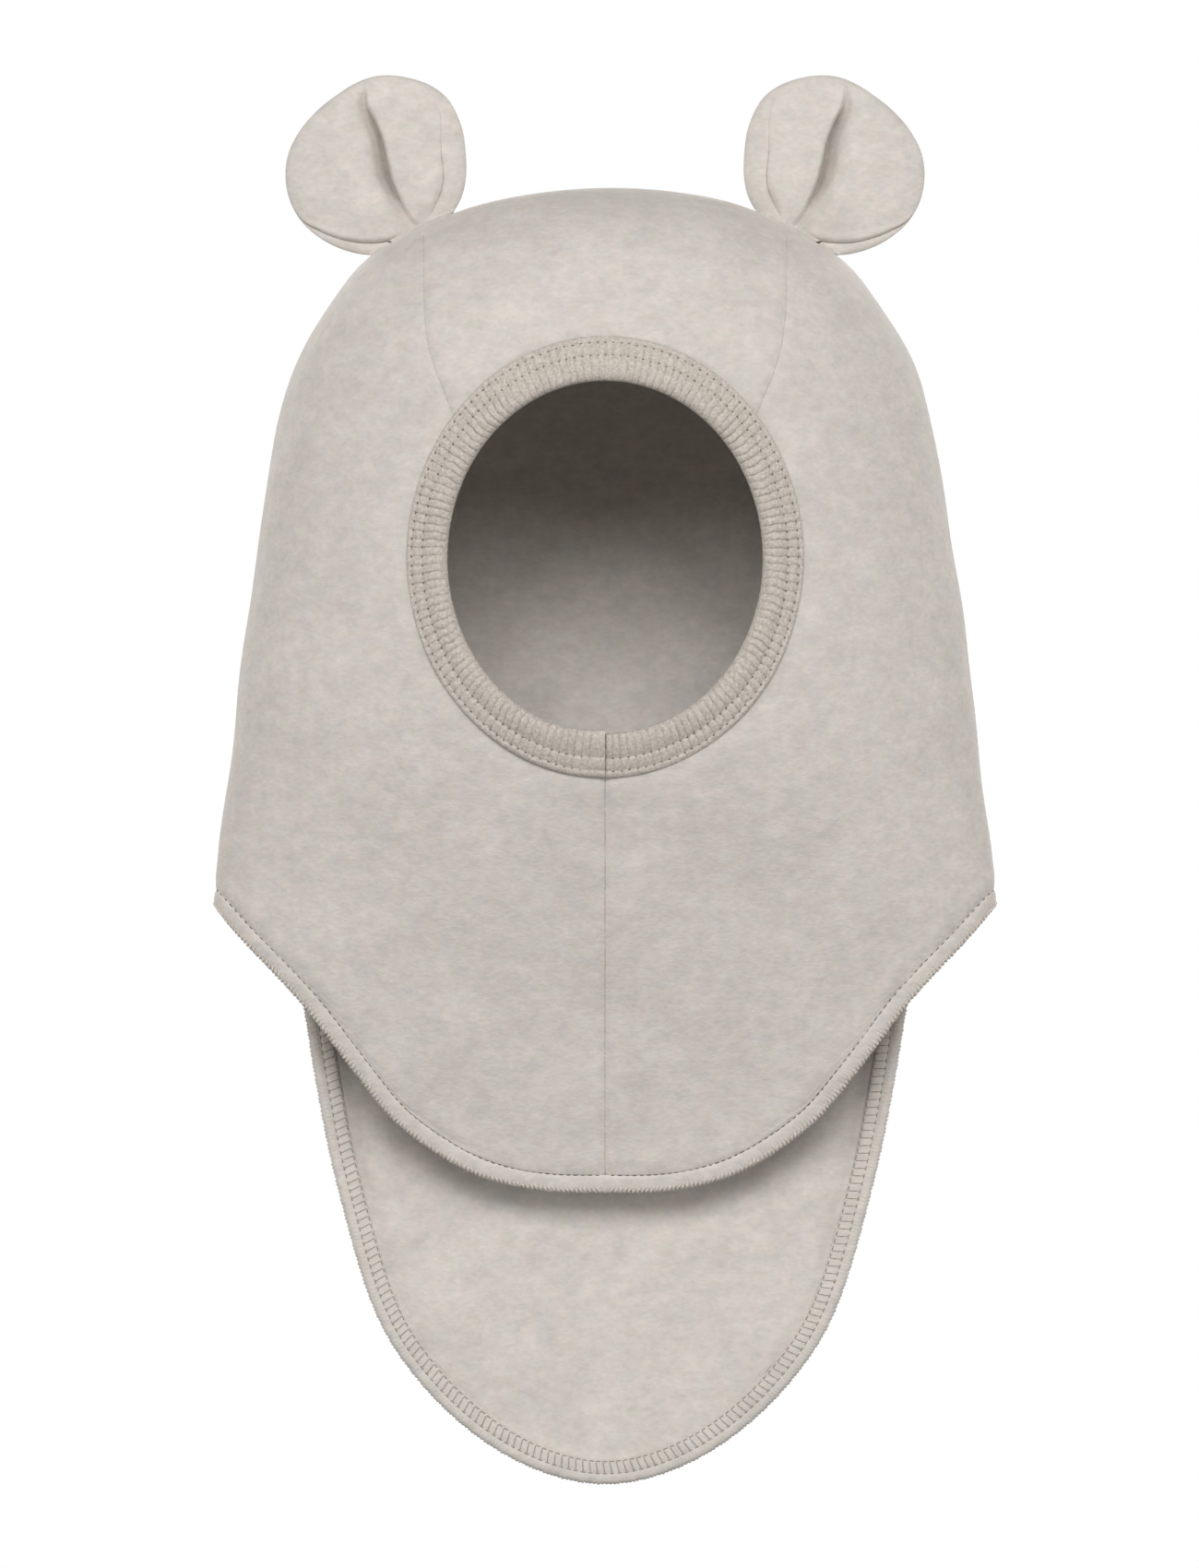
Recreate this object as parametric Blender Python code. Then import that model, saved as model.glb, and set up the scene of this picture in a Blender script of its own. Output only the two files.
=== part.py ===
"""Baby hat with two round ears: a sewn fleece hood of a back panel and two side panels, a
rib-knit band round the face opening, and ears of a front and a back cut each.

Metres, +Z up, the face looks along -Y. The origin is the inside of the crown, where the head sits.
"""

import math

import bmesh
import bpy

MM = 0.001

# Cloth
WALL = 1.8 * MM  # one layer of wool fleece
HEM_EXTRA = 1.6 * MM  # what the turned-in layer adds to the wall at the hem
HEM_WIDTH = 6.5 * MM
SEAM_GAP = 0.3 * MM  # between pieces that are sewn to each other

# Hood
SHOULDER_HALF_WIDTH = 109.6 * MM
SHOULDER_DEPTH = 201.0 * MM  # from the crown down to the hem at the side
HEAD_HALF_DEPTH = 60.0 * MM  # half of the front-to-back size at the head
BIB_DEPTH = 282.8 * MM  # from the crown down to the tip of the front bib
FLAP_DEPTH = 365.5 * MM  # from the crown down to the tip of the back flap

# Face opening
FACE_DEPTH = 105.0 * MM  # from the crown down to the middle of the opening
FACE_HALF_WIDTH = 44.2 * MM
FACE_HALF_HEIGHT = 48.2 * MM
RIB_WIDTH_SIDE = 10.6 * MM
RIB_WIDTH_TOP = 12.8 * MM
RIB_THICK = 2.4 * MM
RIB_OVERLAP = 6.0 * MM  # how far the band lies over the cut edge of the fleece

# Ears
EAR_RADIUS = 25.6 * MM
EAR_LEAN = 13.4 * MM  # from the crown seam out to the middle of the ear
EAR_RISE = 19.4 * MM  # from the crown seam up to the middle of the ear
EAR_BACK = 1.0 * MM  # the ear's middle plane, behind the middle of the head
EAR_FRONT_BULGE = 3.4 * MM
EAR_BACK_BULGE = 5.2 * MM
EAR_FOLD_DEPTH = 8.5 * MM  # the pleat that runs down the ear to its base
EAR_FOLD_OUTER = 6.7 * MM  # how wide the pleat's slope is, away from the head
EAR_FOLD_INNER = 3.6 * MM  # and towards the head, where it is steep
EAR_FOLD_BEHIND = 8.2 * MM  # and on the back of the ear, to each side

SECTION_STEPS = 12
HOOD_COLUMNS = 40
HOOD_ROWS = 18
HOLE_SIDES = 48
RIB_STEPS = 56
EAR_COLUMNS = 30
EAR_RINGS = 6

# Levels run from 0 at the crown to 1 at the shoulder and 2 at the tip of the back flap.
# Half widths are shares of SHOULDER_HALF_WIDTH, and the reach to the front and to the back
# of HEAD_HALF_DEPTH.
SECTIONS = (
    # level, half_width, front, back
    (0.000, 0.000, 0.00, 0.00),
    (0.005, 0.166, 0.18, 0.20),
    (0.021, 0.330, 0.36, 0.39),
    (0.050, 0.472, 0.53, 0.57),
    (0.095, 0.606, 0.69, 0.74),
    (0.155, 0.698, 0.81, 0.87),
    (0.230, 0.780, 0.89, 0.95),
    (0.320, 0.834, 0.94, 1.00),
    (0.430, 0.873, 0.96, 1.01),
    (0.575, 0.911, 0.94, 0.95),
    (0.750, 0.950, 0.86, 0.77),
    (1.000, 1.000, 0.56, 0.42),
    (1.250, 1.015, 0.32, 0.24),
    (1.550, 1.025, 0.13, 0.14),
    (2.060, 1.035, 0.16, 0.08),
)

# The front hem, from the tip of the bib to the side. Half widths are shares of
# SHOULDER_HALF_WIDTH, and fall is the share of the way from SHOULDER_DEPTH down to BIB_DEPTH.
BIB_EDGE = (
    # half_width, fall
    (0.000, 1.000),
    (0.176, 0.991),
    (0.351, 0.928),
    (0.527, 0.775),
    (0.644, 0.588),
    (0.763, 0.373),
    (0.848, 0.247),
    (0.936, 0.122),
    (1.000, 0.020),
)

# The back hem in the same way, with fall as the share of the way down to FLAP_DEPTH.
FLAP_EDGE = (
    # half_width, fall
    (0.000, 1.000),
    (0.166, 0.978),
    (0.330, 0.918),
    (0.484, 0.820),
    (0.600, 0.694),
    (0.698, 0.472),
    (0.750, 0.305),
    (0.788, 0.165),
    (0.840, 0.075),
    (0.915, 0.030),
    (1.000, 0.010),
)

# The seam between the back panel and a side panel: in front of the crown, and behind it.
FRONT_SEAM = (
    # level, half_width
    (0.00, 0.468),
    (0.12, 0.462),
    (0.19, 0.456),
    (0.25, 0.436),
    (0.31, 0.395),
    (0.40, 0.330),
)
BACK_SEAM = (
    # level, half_width
    (0.00, 0.468),
    (0.15, 0.478),
    (0.40, 0.575),
    (0.70, 0.740),
    (0.90, 0.860),
    (1.05, 0.925),
    (1.25, 0.955),
)

# An ear's outline round its middle, in shares of EAR_RADIUS. Angle 0 points away from the
# head and 90 points up. Wrap is how far the back cut comes round to the front, as a share of
# the way from the rim to the middle.
EAR_OUTLINE = (
    # angle, radius, wrap
    (0, 0.96, 0.00),
    (35, 0.89, 0.00),
    (65, 0.84, 0.00),
    (90, 0.92, 0.00),
    (120, 1.00, 0.08),
    (150, 1.04, 0.26),
    (180, 0.99, 0.34),
    (215, 1.06, 0.28),
    (250, 1.06, 0.20),
    (285, 1.03, 0.26),
    (325, 1.06, 0.12),
)

# The line of an ear's pleat, in shares of EAR_RADIUS from the ear's middle, up and away from
# the head, with the share of EAR_FOLD_DEPTH that the pleat has there.
EAR_FOLD = (
    # up, out, depth
    (0.80, 0.15, 0.00),
    (0.45, 0.02, 0.45),
    (0.00, -0.10, 0.95),
    (-0.35, -0.20, 1.00),
    (-0.80, -0.52, 0.55),
    (-1.10, -0.75, 0.40),
)


def between(low, high, share):
    return low + (high - low) * share


def spline(rows, place):
    """The row at a place between 0 and the last row, on a smooth curve through all rows."""
    last = len(rows) - 1
    place = min(max(place, 0.0), float(last))
    first = min(int(place), last - 1)
    t = place - first
    before = rows[max(first - 1, 0)]
    after = rows[min(first + 2, last)]
    value = []
    for p0, p1, p2, p3 in zip(before, rows[first], rows[first + 1], after):
        bend = 2 * p0 - 5 * p1 + 4 * p2 - p3
        turn = 3 * (p1 - p2) + p3 - p0
        value.append(p1 + 0.5 * t * ((p2 - p0) + t * (bend + t * turn)))
    return tuple(value)


def smooth(rows, steps):
    """The table with that many steps between two rows."""
    count = (len(rows) - 1) * steps
    return [spline(rows, k / steps) for k in range(count + 1)]


def look_up(rows, key):
    """The other columns where the first column, which rises, has this value."""
    if key <= rows[0][0]:
        return rows[0][1:]
    for low, high in zip(rows, rows[1:]):
        if key <= high[0]:
            share = (key - low[0]) / max(high[0] - low[0], 1e-9)
            return tuple(between(a, b, share) for a, b in zip(low[1:], high[1:]))
    return rows[-1][1:]


def depth_at(level):
    """The depth below the crown at a level."""
    if level <= 1:
        return level * SHOULDER_DEPTH
    return between(SHOULDER_DEPTH, FLAP_DEPTH, level - 1)


def hood_sections():
    """Fine rows of depth, half width, front reach and back reach, in metres."""
    rows = []
    for level, wide, front, back in SECTIONS:
        reach = (front * HEAD_HALF_DEPTH, back * HEAD_HALF_DEPTH)
        rows.append((depth_at(level), wide * SHOULDER_HALF_WIDTH, *reach))
    mirrored = [(rows[1][0], *(-size for size in rows[1][1:]))]
    return smooth(mirrored + rows, SECTION_STEPS)[SECTION_STEPS:]


HOOD_SECTIONS = hood_sections()


def seam_curve(table):
    """A seam's points, (half width, depth) from the crown down."""
    rows = [(wide * SHOULDER_HALF_WIDTH, depth_at(level)) for level, wide in table]
    return smooth(rows, 2)


def crown_depth(x):
    """How deep the hood's outside lies over the middle of the head, that far from its middle."""
    return look_up([(row[1], row[0]) for row in HOOD_SECTIONS], x)[0]


def side_plane():
    """The plane between the front half and the back half, midway at the tip of the bib."""
    wide, front, back = look_up(HOOD_SECTIONS, BIB_DEPTH)
    return (back - front) / 2


def hood_y(x, depth, side):
    """Where the hood's outside lies at a place across and down: side -1 in front, 1 behind."""
    wide, front, back = look_up(HOOD_SECTIONS, depth)
    middle = (back - front) / 2
    half = (back + front) / 2
    share = min(abs(x) / max(wide, 1e-6), 1.0)
    return middle + side * half * math.sqrt(1 - share * share)


def hood_rings(inset):
    """Rings (depth, half width, half depth, middle) of the hood, moved inwards by inset."""
    fine = HOOD_SECTIONS
    rings = []
    for k in range(HOOD_ROWS + 1):
        at = round(k / HOOD_ROWS * (len(fine) - 1))
        depth, wide, front, back = fine[at]
        low, high = fine[max(at - 1, 0)], fine[min(at + 1, len(fine) - 1)]
        down, out = high[0] - low[0], high[1] - low[1]
        if at == 0:
            down, out = 0.0, 1.0
        length = math.hypot(down, out)
        inwards = inset * down / length
        rings.append(
            (
                depth + inset * out / length,
                wide - inwards,
                (front + back) / 2 - inwards,
                (back - front) / 2,
            )
        )
    return rings


def new_object(name, bm, collection):
    mesh = bpy.data.meshes.new(name)
    bm.to_mesh(mesh)
    bm.free()
    mesh.shade_smooth()
    made = bpy.data.objects.new(name, mesh)
    collection.objects.link(made)
    return made


def world_z(depth):
    """The height of a place that far below the outside of the crown."""
    return WALL - depth


def hood_solid(name, inset, collection):
    """The hood as one closed lump, smaller by inset: a loft through its rings."""
    bm = bmesh.new()
    rings = hood_rings(inset)
    top = bm.verts.new((0.0, 0.0, world_z(rings[0][0])))
    loops = []
    for depth, wide, half, middle in rings[1:]:
        loop = []
        for k in range(HOOD_COLUMNS):
            angle = 2 * math.pi * k / HOOD_COLUMNS
            x, y = wide * math.cos(angle), middle + half * math.sin(angle)
            loop.append(bm.verts.new((x, y, world_z(depth))))
        loops.append(loop)
    for k in range(HOOD_COLUMNS):
        following = (k + 1) % HOOD_COLUMNS
        bm.faces.new((top, loops[0][k], loops[0][following]))
        for upper, lower in zip(loops, loops[1:]):
            bm.faces.new((upper[k], lower[k], lower[following], upper[following]))
    bm.faces.new(reversed(loops[-1]))
    bmesh.ops.triangulate(bm, faces=bm.faces[:])
    bmesh.ops.recalc_face_normals(bm, faces=bm.faces[:])
    return new_object(name, bm, collection)


def prism(name, outline, y_from, y_to, collection):
    """An outline of (x, z) points pushed along Y."""
    bm = bmesh.new()
    face = bm.faces.new([bm.verts.new((x, y_from, z)) for x, z in outline])
    pushed = bmesh.ops.extrude_face_region(bm, geom=[face])["geom"]
    ends = [v for v in pushed if isinstance(v, bmesh.types.BMVert)]
    bmesh.ops.translate(bm, verts=ends, vec=(0.0, y_to - y_from, 0.0))
    bmesh.ops.triangulate(bm, faces=bm.faces[:])
    bmesh.ops.recalc_face_normals(bm, faces=bm.faces[:])
    return new_object(name, bm, collection)


def hem_curve(edge, tip_depth):
    """The hem seen from the front, (half width, depth) from the middle out to the side."""
    fall = tip_depth - SHOULDER_DEPTH
    return [
        (wide * SHOULDER_HALF_WIDTH, SHOULDER_DEPTH + share * fall)
        for wide, share in smooth(edge, 2)
    ]


def moved_up(curve, distance):
    """The curve moved by a distance at right angles to itself, towards the crown."""
    moved = []
    for k, (x, depth) in enumerate(curve):
        low, high = curve[max(k - 1, 0)], curve[min(k + 1, len(curve) - 1)]
        along_x, along_depth = high[0] - low[0], high[1] - low[1]
        if k == 0:
            along_depth = 0.0
        length = math.hypot(along_x, along_depth)
        moved.append(
            (x + distance * along_depth / length, depth - distance * along_x / length)
        )
    return moved


def below_hem(name, curve, side, collection):
    """Everything below a hem, in the front half (side -1) or the back half (side 1)."""
    reach = 1.5 * SHOULDER_HALF_WIDTH
    bottom = world_z(FLAP_DEPTH + 2 * HEM_WIDTH)
    half = [(x, world_z(depth)) for x, depth in curve]
    half.append((reach, half[-1][1]))
    outline = half + [(reach, bottom), (-reach, bottom)]
    outline += [(-x, z) for x, z in reversed(half) if x > 0]
    return prism(name, outline, side_plane(), side * 3 * HEAD_HALF_DEPTH, collection)


def between_seams(table, grow):
    """The outline between a seam and its mirror image, wider by grow on each side."""
    rows = [(x + grow, world_z(depth)) for x, depth in seam_curve(table)]
    rows.insert(0, (rows[0][0], world_z(-2 * EAR_RADIUS)))
    return rows + [(-x, z) for x, z in reversed(rows)]


def boolean(target, operation, other):
    modifier = target.modifiers.new(f"{operation.lower()} {other.name}", "BOOLEAN")
    modifier.operation = operation
    modifier.object = other


def helper(made):
    """A cutter: shown as wire and left out of the object."""
    made.hide_render = True
    made.display_type = "WIRE"
    return made


def frozen(made, collection, name):
    """A copy of the object with its modifiers worked out, in triangles."""
    bpy.context.view_layer.update()
    graph = bpy.context.evaluated_depsgraph_get()
    mesh = bpy.data.meshes.new_from_object(made.evaluated_get(graph))
    bm = bmesh.new()
    bm.from_mesh(mesh)
    bpy.data.meshes.remove(mesh)
    bmesh.ops.remove_doubles(bm, verts=bm.verts[:], dist=0.01 * MM)
    bmesh.ops.triangulate(bm, faces=bm.faces[:])
    return new_object(name, bm, collection)


def face_hole(cutters):
    """The hole that is cut in the fleece, which the rib band's outer part covers."""
    half_width = FACE_HALF_WIDTH + RIB_WIDTH_SIDE - RIB_OVERLAP
    half_height = FACE_HALF_HEIGHT + RIB_WIDTH_TOP - RIB_OVERLAP
    outline = []
    for k in range(HOLE_SIDES):
        angle = 2 * math.pi * (k + 0.5) / HOLE_SIDES
        x = half_width * math.cos(angle)
        outline.append((x, world_z(FACE_DEPTH) + half_height * math.sin(angle)))
    hole = prism("face_hole", outline, -3 * HEAD_HALF_DEPTH, side_plane(), cutters)
    return helper(hole)


def hood_shell(cutters):
    """The whole hood before it is parted at its seams: walls, turned hem and face hole."""
    shell = helper(hood_solid("hood", 0.0, cutters))
    hem_room = helper(hood_solid("inside_hem", WALL + HEM_EXTRA, cutters))
    wall_room = helper(hood_solid("inside_wall", WALL, cutters))
    hems = (
        ("bib", hem_curve(BIB_EDGE, BIB_DEPTH), -1),
        ("flap", hem_curve(FLAP_EDGE, FLAP_DEPTH), 1),
    )
    for name, curve, side in hems:
        zone = below_hem(f"{name}_hem_zone", moved_up(curve, HEM_WIDTH), side, cutters)
        boolean(wall_room, "DIFFERENCE", helper(zone))
    boolean(shell, "DIFFERENCE", hem_room)
    boolean(shell, "DIFFERENCE", wall_room)
    for name, curve, side in hems:
        boolean(shell, "DIFFERENCE", helper(below_hem(f"below_{name}", curve, side, cutters)))
    boolean(shell, "DIFFERENCE", face_hole(cutters))
    return helper(frozen(shell, cutters, "hood_shell"))


def panel_rooms(name, grow, cutters):
    """The space the back panel takes: a strip over the forehead, and the whole back."""
    far = 3 * HEAD_HALF_DEPTH
    strip = between_seams(FRONT_SEAM, grow)
    front = prism(f"{name}_front", strip, -far, side_plane() + SEAM_GAP, cutters)
    back_part = between_seams(BACK_SEAM, grow)
    middle = len(back_part) // 2
    x, bottom = back_part[middle - 1][0], world_z(FLAP_DEPTH + HEM_WIDTH)
    back_part[middle:middle] = [(x, bottom), (-x, bottom)]
    back = prism(f"{name}_back", back_part, side_plane(), far, cutters)
    return helper(front), helper(back)


def half_room(name, side, cutters):
    """The space on one side of the middle, short of it by half a seam."""
    reach = 2 * FLAP_DEPTH
    middle = side * SEAM_GAP / 2
    outline = [(middle, reach), (side * reach, reach), (side * reach, -reach), (middle, -reach)]
    return helper(prism(name, outline, -reach, reach, cutters))


def hood_panels(shell, parts, cutters):
    """The back panel and the two side panels, with the width of a seam between them."""
    front, back = panel_rooms("back_panel_room", -SEAM_GAP / 2, cutters)
    boolean(back, "UNION", front)
    back_panel = bpy.data.objects.new("back_panel", shell.data.copy())
    parts.objects.link(back_panel)
    boolean(back_panel, "INTERSECT", back)
    seam_rooms = panel_rooms("seam_room", SEAM_GAP / 2, cutters)
    for side_name, side in (("right", 1), ("left", -1)):
        panel = bpy.data.objects.new(f"side_panel_{side_name}", shell.data.copy())
        parts.objects.link(panel)
        boolean(panel, "INTERSECT", half_room(f"half_{side_name}", side, cutters))
        for room in seam_rooms:
            boolean(panel, "DIFFERENCE", room)


def surface_frame(x, depth):
    """A place on the front of the hood and the way out of it there."""
    step = MM
    y = hood_y(x, depth, -1)
    slope_x = (hood_y(x + step, depth, -1) - hood_y(x - step, depth, -1)) / (2 * step)
    slope_down = (hood_y(x, depth + step, -1) - hood_y(x, depth - step, -1)) / (2 * step)
    length = math.sqrt(1 + slope_x * slope_x + slope_down * slope_down)
    out = (slope_x / length, -1 / length, -slope_down / length)
    return (x, y, world_z(depth)), out


# The rib band's cross-section. Across runs from the outer edge to the inner edge as a share of
# the band's width; lift is the height over the fleece's outside as a share of RIB_THICK.
RIB_PROFILE = (
    # across, lift
    (0.00, 0.15),
    (0.02, 0.65),
    (0.10, 1.00),
    (0.40, 1.00),
    (0.70, 0.85),
    (0.92, 0.50),
    (1.00, 0.00),
    (0.96, -0.45),
    (0.80, -0.55),
    (0.64, -0.30),
    (0.58, 0.00),
)


def face_rib(parts):
    """The folded rib-knit band, which lies over the cut edge of the face opening."""
    bm = bmesh.new()
    loops = []
    for k in range(RIB_STEPS):
        angle = 2 * math.pi * k / RIB_STEPS
        loop = []
        for across, lift in RIB_PROFILE:
            half_width = FACE_HALF_WIDTH + RIB_WIDTH_SIDE * (1 - across)
            half_height = FACE_HALF_HEIGHT + RIB_WIDTH_TOP * (1 - across)
            x = half_width * math.cos(angle)
            depth = FACE_DEPTH - half_height * math.sin(angle)
            place, out = surface_frame(x, depth)
            rise = SEAM_GAP + lift * RIB_THICK
            loop.append(bm.verts.new([p + n * rise for p, n in zip(place, out)]))
        loops.append(loop)
    count = len(RIB_PROFILE)
    for k, loop in enumerate(loops):
        following = loops[(k + 1) % RIB_STEPS]
        for j in range(count):
            nxt = (j + 1) % count
            bm.faces.new((loop[j], loop[nxt], following[nxt], following[j]))
    bmesh.ops.recalc_face_normals(bm, faces=bm.faces[:])
    return new_object("face_rib", bm, parts)


def ear_outline():
    """Fine rows of angle, radius and wrap, all the way round an ear."""
    rows = [(a - 360, *rest) for a, *rest in EAR_OUTLINE[-2:]]
    rows += list(EAR_OUTLINE) + [(a + 360, *rest) for a, *rest in EAR_OUTLINE[:2]]
    return smooth(rows, 6)


EAR_RIM = ear_outline()
EAR_PLEAT = sorted(smooth(EAR_FOLD, 4))


def ear_rim(angle):
    """The ear's radius and wrap at an angle, both shares."""
    return look_up(EAR_RIM, math.degrees(angle) % 360)


def ear_fold(out, up):
    """How deep the pleat is level with a place of the ear, and how far off its line that is."""
    at, depth = look_up(EAR_PLEAT, up)
    return depth * EAR_FOLD_DEPTH, (out - at) * EAR_RADIUS


def ear_point(turn, angle, inset=0.0):
    """A place on the ear: turn 0 is the middle of its front, 1 the rim, 2 the middle behind."""
    share = math.sin(turn * math.pi / 2)
    rise = math.cos(turn * math.pi / 2)
    radius = ear_rim(angle)[0]
    out = share * radius * math.cos(angle)
    up = share * radius * math.sin(angle)
    depth, off = ear_fold(out, up)
    depth *= 1 - share**6
    if rise >= 0:
        outer_side = math.exp(-((max(off, 0.0) / EAR_FOLD_OUTER) ** 1.5))
        inner_side = math.exp(-((max(-off, 0.0) / EAR_FOLD_INNER) ** 2))
        forward = (EAR_FRONT_BULGE - inset) * rise - depth * outer_side * inner_side
    else:
        spread = math.exp(-((off / EAR_FOLD_BEHIND) ** 2))
        forward = (EAR_BACK_BULGE - inset) * rise - depth * spread
    across = EAR_RADIUS - inset * share
    return (across * out, -forward, across * up)


def ear_turns(angle, from_front):
    """The turns at which one cut of the ear has its rings, from its middle to its edge."""
    seam = 1 - ear_rim(angle)[1]
    bulge = EAR_FRONT_BULGE if from_front else EAR_BACK_BULGE
    across = EAR_RADIUS * math.cos(seam * math.pi / 2)
    speed = math.hypot(across, bulge * math.sin(seam * math.pi / 2)) * math.pi / 2
    gap = SEAM_GAP / 2 / speed
    start, end = (0.0, seam - gap) if from_front else (2.0, seam + gap)
    return [between(start, end, ring / EAR_RINGS) for ring in range(1, EAR_RINGS + 1)]


def ear_cut(name, side, from_front, parts):
    """One cut of the ear, a cup one layer thick, closed at its edge."""
    bm = bmesh.new()
    start = 0.0 if from_front else 2.0
    middles = [bm.verts.new(ear_point(start, 0.0, inset)) for inset in (0.0, WALL)]
    strips = []
    for k in range(EAR_COLUMNS):
        angle = 2 * math.pi * (k + 0.5) / EAR_COLUMNS
        turns = ear_turns(angle, from_front)
        outside = [bm.verts.new(ear_point(turn, angle)) for turn in turns]
        inside = [bm.verts.new(ear_point(turn, angle, WALL)) for turn in reversed(turns)]
        strips.append(outside + inside)
    for k, strip in enumerate(strips):
        following = strips[(k + 1) % EAR_COLUMNS]
        bm.faces.new((middles[0], strip[0], following[0]))
        bm.faces.new((middles[1], following[-1], strip[-1]))
        for j in range(len(strip) - 1):
            bm.faces.new((strip[j], strip[j + 1], following[j + 1], following[j]))
    bmesh.ops.scale(bm, vec=(float(side), 1.0, 1.0), verts=bm.verts[:])
    bmesh.ops.triangulate(bm, faces=bm.faces[:])
    bmesh.ops.recalc_face_normals(bm, faces=bm.faces[:])
    return new_object(name, bm, parts)


def ear(side, crown, parts):
    """An ear's front and back cuts, seated on the crown. Side is 1 at +X and -1 at -X."""
    side_name = "right" if side > 0 else "left"
    seam = seam_curve(FRONT_SEAM)[0][0]
    seat = crown_depth(seam)
    for cut_name, from_front in (("front", True), ("back", False)):
        cut = ear_cut(f"ear_{cut_name}_{side_name}", side, from_front, parts)
        cut.location = (side * (seam + EAR_LEAN), EAR_BACK, world_z(seat - EAR_RISE))
        boolean(cut, "DIFFERENCE", crown)


def material(name, colour, roughness):
    made = bpy.data.materials.new(name)
    made.use_nodes = True
    shader = made.node_tree.nodes["Principled BSDF"]
    shader.inputs["Base Color"].default_value = (*colour, 1.0)
    shader.inputs["Roughness"].default_value = roughness
    return made


def main():
    for old in list(bpy.data.objects):
        bpy.data.objects.remove(old)
    parts = bpy.data.collections.new("baby hat with ears")
    cutters = bpy.data.collections.new("cutters")
    for made in (parts, cutters):
        bpy.context.scene.collection.children.link(made)
    shell = hood_shell(cutters)
    hood_panels(shell, parts, cutters)
    face_rib(parts)
    crown = helper(hood_solid("crown_seat", -SEAM_GAP, cutters))
    for side in (1, -1):
        ear(side, crown, parts)
    fleece = material("wool fleece", (0.58, 0.54, 0.49), 0.95)
    rib_knit = material("rib knit", (0.50, 0.46, 0.42), 0.95)
    for made in parts.objects:
        made.data.materials.clear()
        made.data.materials.append(rib_knit if made.name == "face_rib" else fleece)


main()
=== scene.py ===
import bpy
import bmesh
import math
import numpy as np
from mathutils import Matrix, Vector
from mathutils.kdtree import KDTree


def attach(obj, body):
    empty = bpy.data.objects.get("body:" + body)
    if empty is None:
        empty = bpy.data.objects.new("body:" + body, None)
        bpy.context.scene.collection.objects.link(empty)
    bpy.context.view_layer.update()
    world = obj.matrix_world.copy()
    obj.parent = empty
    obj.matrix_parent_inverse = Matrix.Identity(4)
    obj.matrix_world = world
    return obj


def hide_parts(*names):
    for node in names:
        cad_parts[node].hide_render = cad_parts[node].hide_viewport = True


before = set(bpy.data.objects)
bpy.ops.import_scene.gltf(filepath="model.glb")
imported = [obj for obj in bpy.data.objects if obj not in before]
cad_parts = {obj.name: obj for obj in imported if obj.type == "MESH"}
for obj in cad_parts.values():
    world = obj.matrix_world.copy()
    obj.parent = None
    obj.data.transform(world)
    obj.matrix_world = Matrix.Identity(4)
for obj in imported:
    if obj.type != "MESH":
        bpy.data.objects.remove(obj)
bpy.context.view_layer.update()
mm = 0.001


# shared helpers

def smoothRows(rows, steps):
    # a Catmull-Rom curve through every row of a table
    rows = np.array(rows, dtype=float)
    ends = np.vstack([2 * rows[0] - rows[1], rows, 2 * rows[-1] - rows[-2]])
    place = np.linspace(0, len(rows) - 1, (len(rows) - 1) * steps + 1)
    first = np.minimum(place.astype(int), len(rows) - 2)
    t = (place - first)[:, None]
    p0, p1, p2, p3 = (ends[first + k] for k in range(4))
    return p1 + 0.5 * t * ((p2 - p0) + t * (2 * p0 - 5 * p1 + 4 * p2 - p3 + t * (3 * (p1 - p2) + p3 - p0)))


def unit(v):
    return v / np.maximum(np.linalg.norm(v, axis=-1, keepdims=True), 1e-12)


def dot(a, b):
    return np.sum(a * b, axis=-1)


def slopes(chart, a, b, steps):
    # the differences over two small steps, one way and the other
    return (chart(a + steps[0], b) - chart(a - steps[0], b),
            chart(a, b + steps[1]) - chart(a, b - steps[1]))


def arcLength(points):
    steps = np.linalg.norm(np.diff(points, axis=0), axis=1)
    return np.concatenate([[0.0], np.cumsum(steps)])


def evenly(points, count, along=None):
    # the same line with that many points, evenly spaced along its length
    length = arcLength(points if along is None else along)
    at = np.linspace(0, length[-1], count) if np.isscalar(count) else np.asarray(count) * length[-1]
    return np.stack([np.interp(at, length, points[:, k]) for k in range(points.shape[1])], axis=1)


def onChart(chart, line):
    # a line's places in space
    return chart(line[:, 0], line[:, 1])


def chartLength(chart, line):
    return arcLength(onChart(chart, line))[-1]


def evenlyOn(chart, line, count):
    return evenly(line, count, onChart(chart, line))


def uneven(x, seed=0.0):
    # a smooth, irregular wave between about -1 and 1, for things made by hand
    return (0.42 * np.sin(x + seed) + 0.28 * np.sin(1.83 * x + 2.1 + 1.7 * seed)
            + 0.19 * np.sin(3.37 * x + 0.7 + 2.3 * seed) + 0.11 * np.sin(6.11 * x + 4.0 + 3.1 * seed))


def gridMesh(points):
    # a grid primitive with its vertices moved to points[row, column]
    rows, columns = points.shape[:2]
    bm = bmesh.new()
    bmesh.ops.create_grid(bm, x_segments=columns - 1, y_segments=rows - 1, size=0.5)
    for v in bm.verts:
        v.co = points[round((v.co.y + 0.5) * (rows - 1)), round((v.co.x + 0.5) * (columns - 1))]
    bmesh.ops.recalc_face_normals(bm, faces=bm.faces[:])
    return bm


def turnFaces(bm, outwardness):
    # an open sheet's faces are turned over if they mostly point inward
    if sum((outwardness(f) * f.calc_area() for f in bm.faces), 0.0) < 0:
        bmesh.ops.reverse_faces(bm, faces=bm.faces[:])


def faceOutward(bm, centre):
    turnFaces(bm, lambda f: f.normal.dot(f.calc_center_median() - centre))


def linked(name, data):
    made = bpy.data.objects.new(name, data)
    bpy.context.scene.collection.objects.link(made)
    return made


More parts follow.
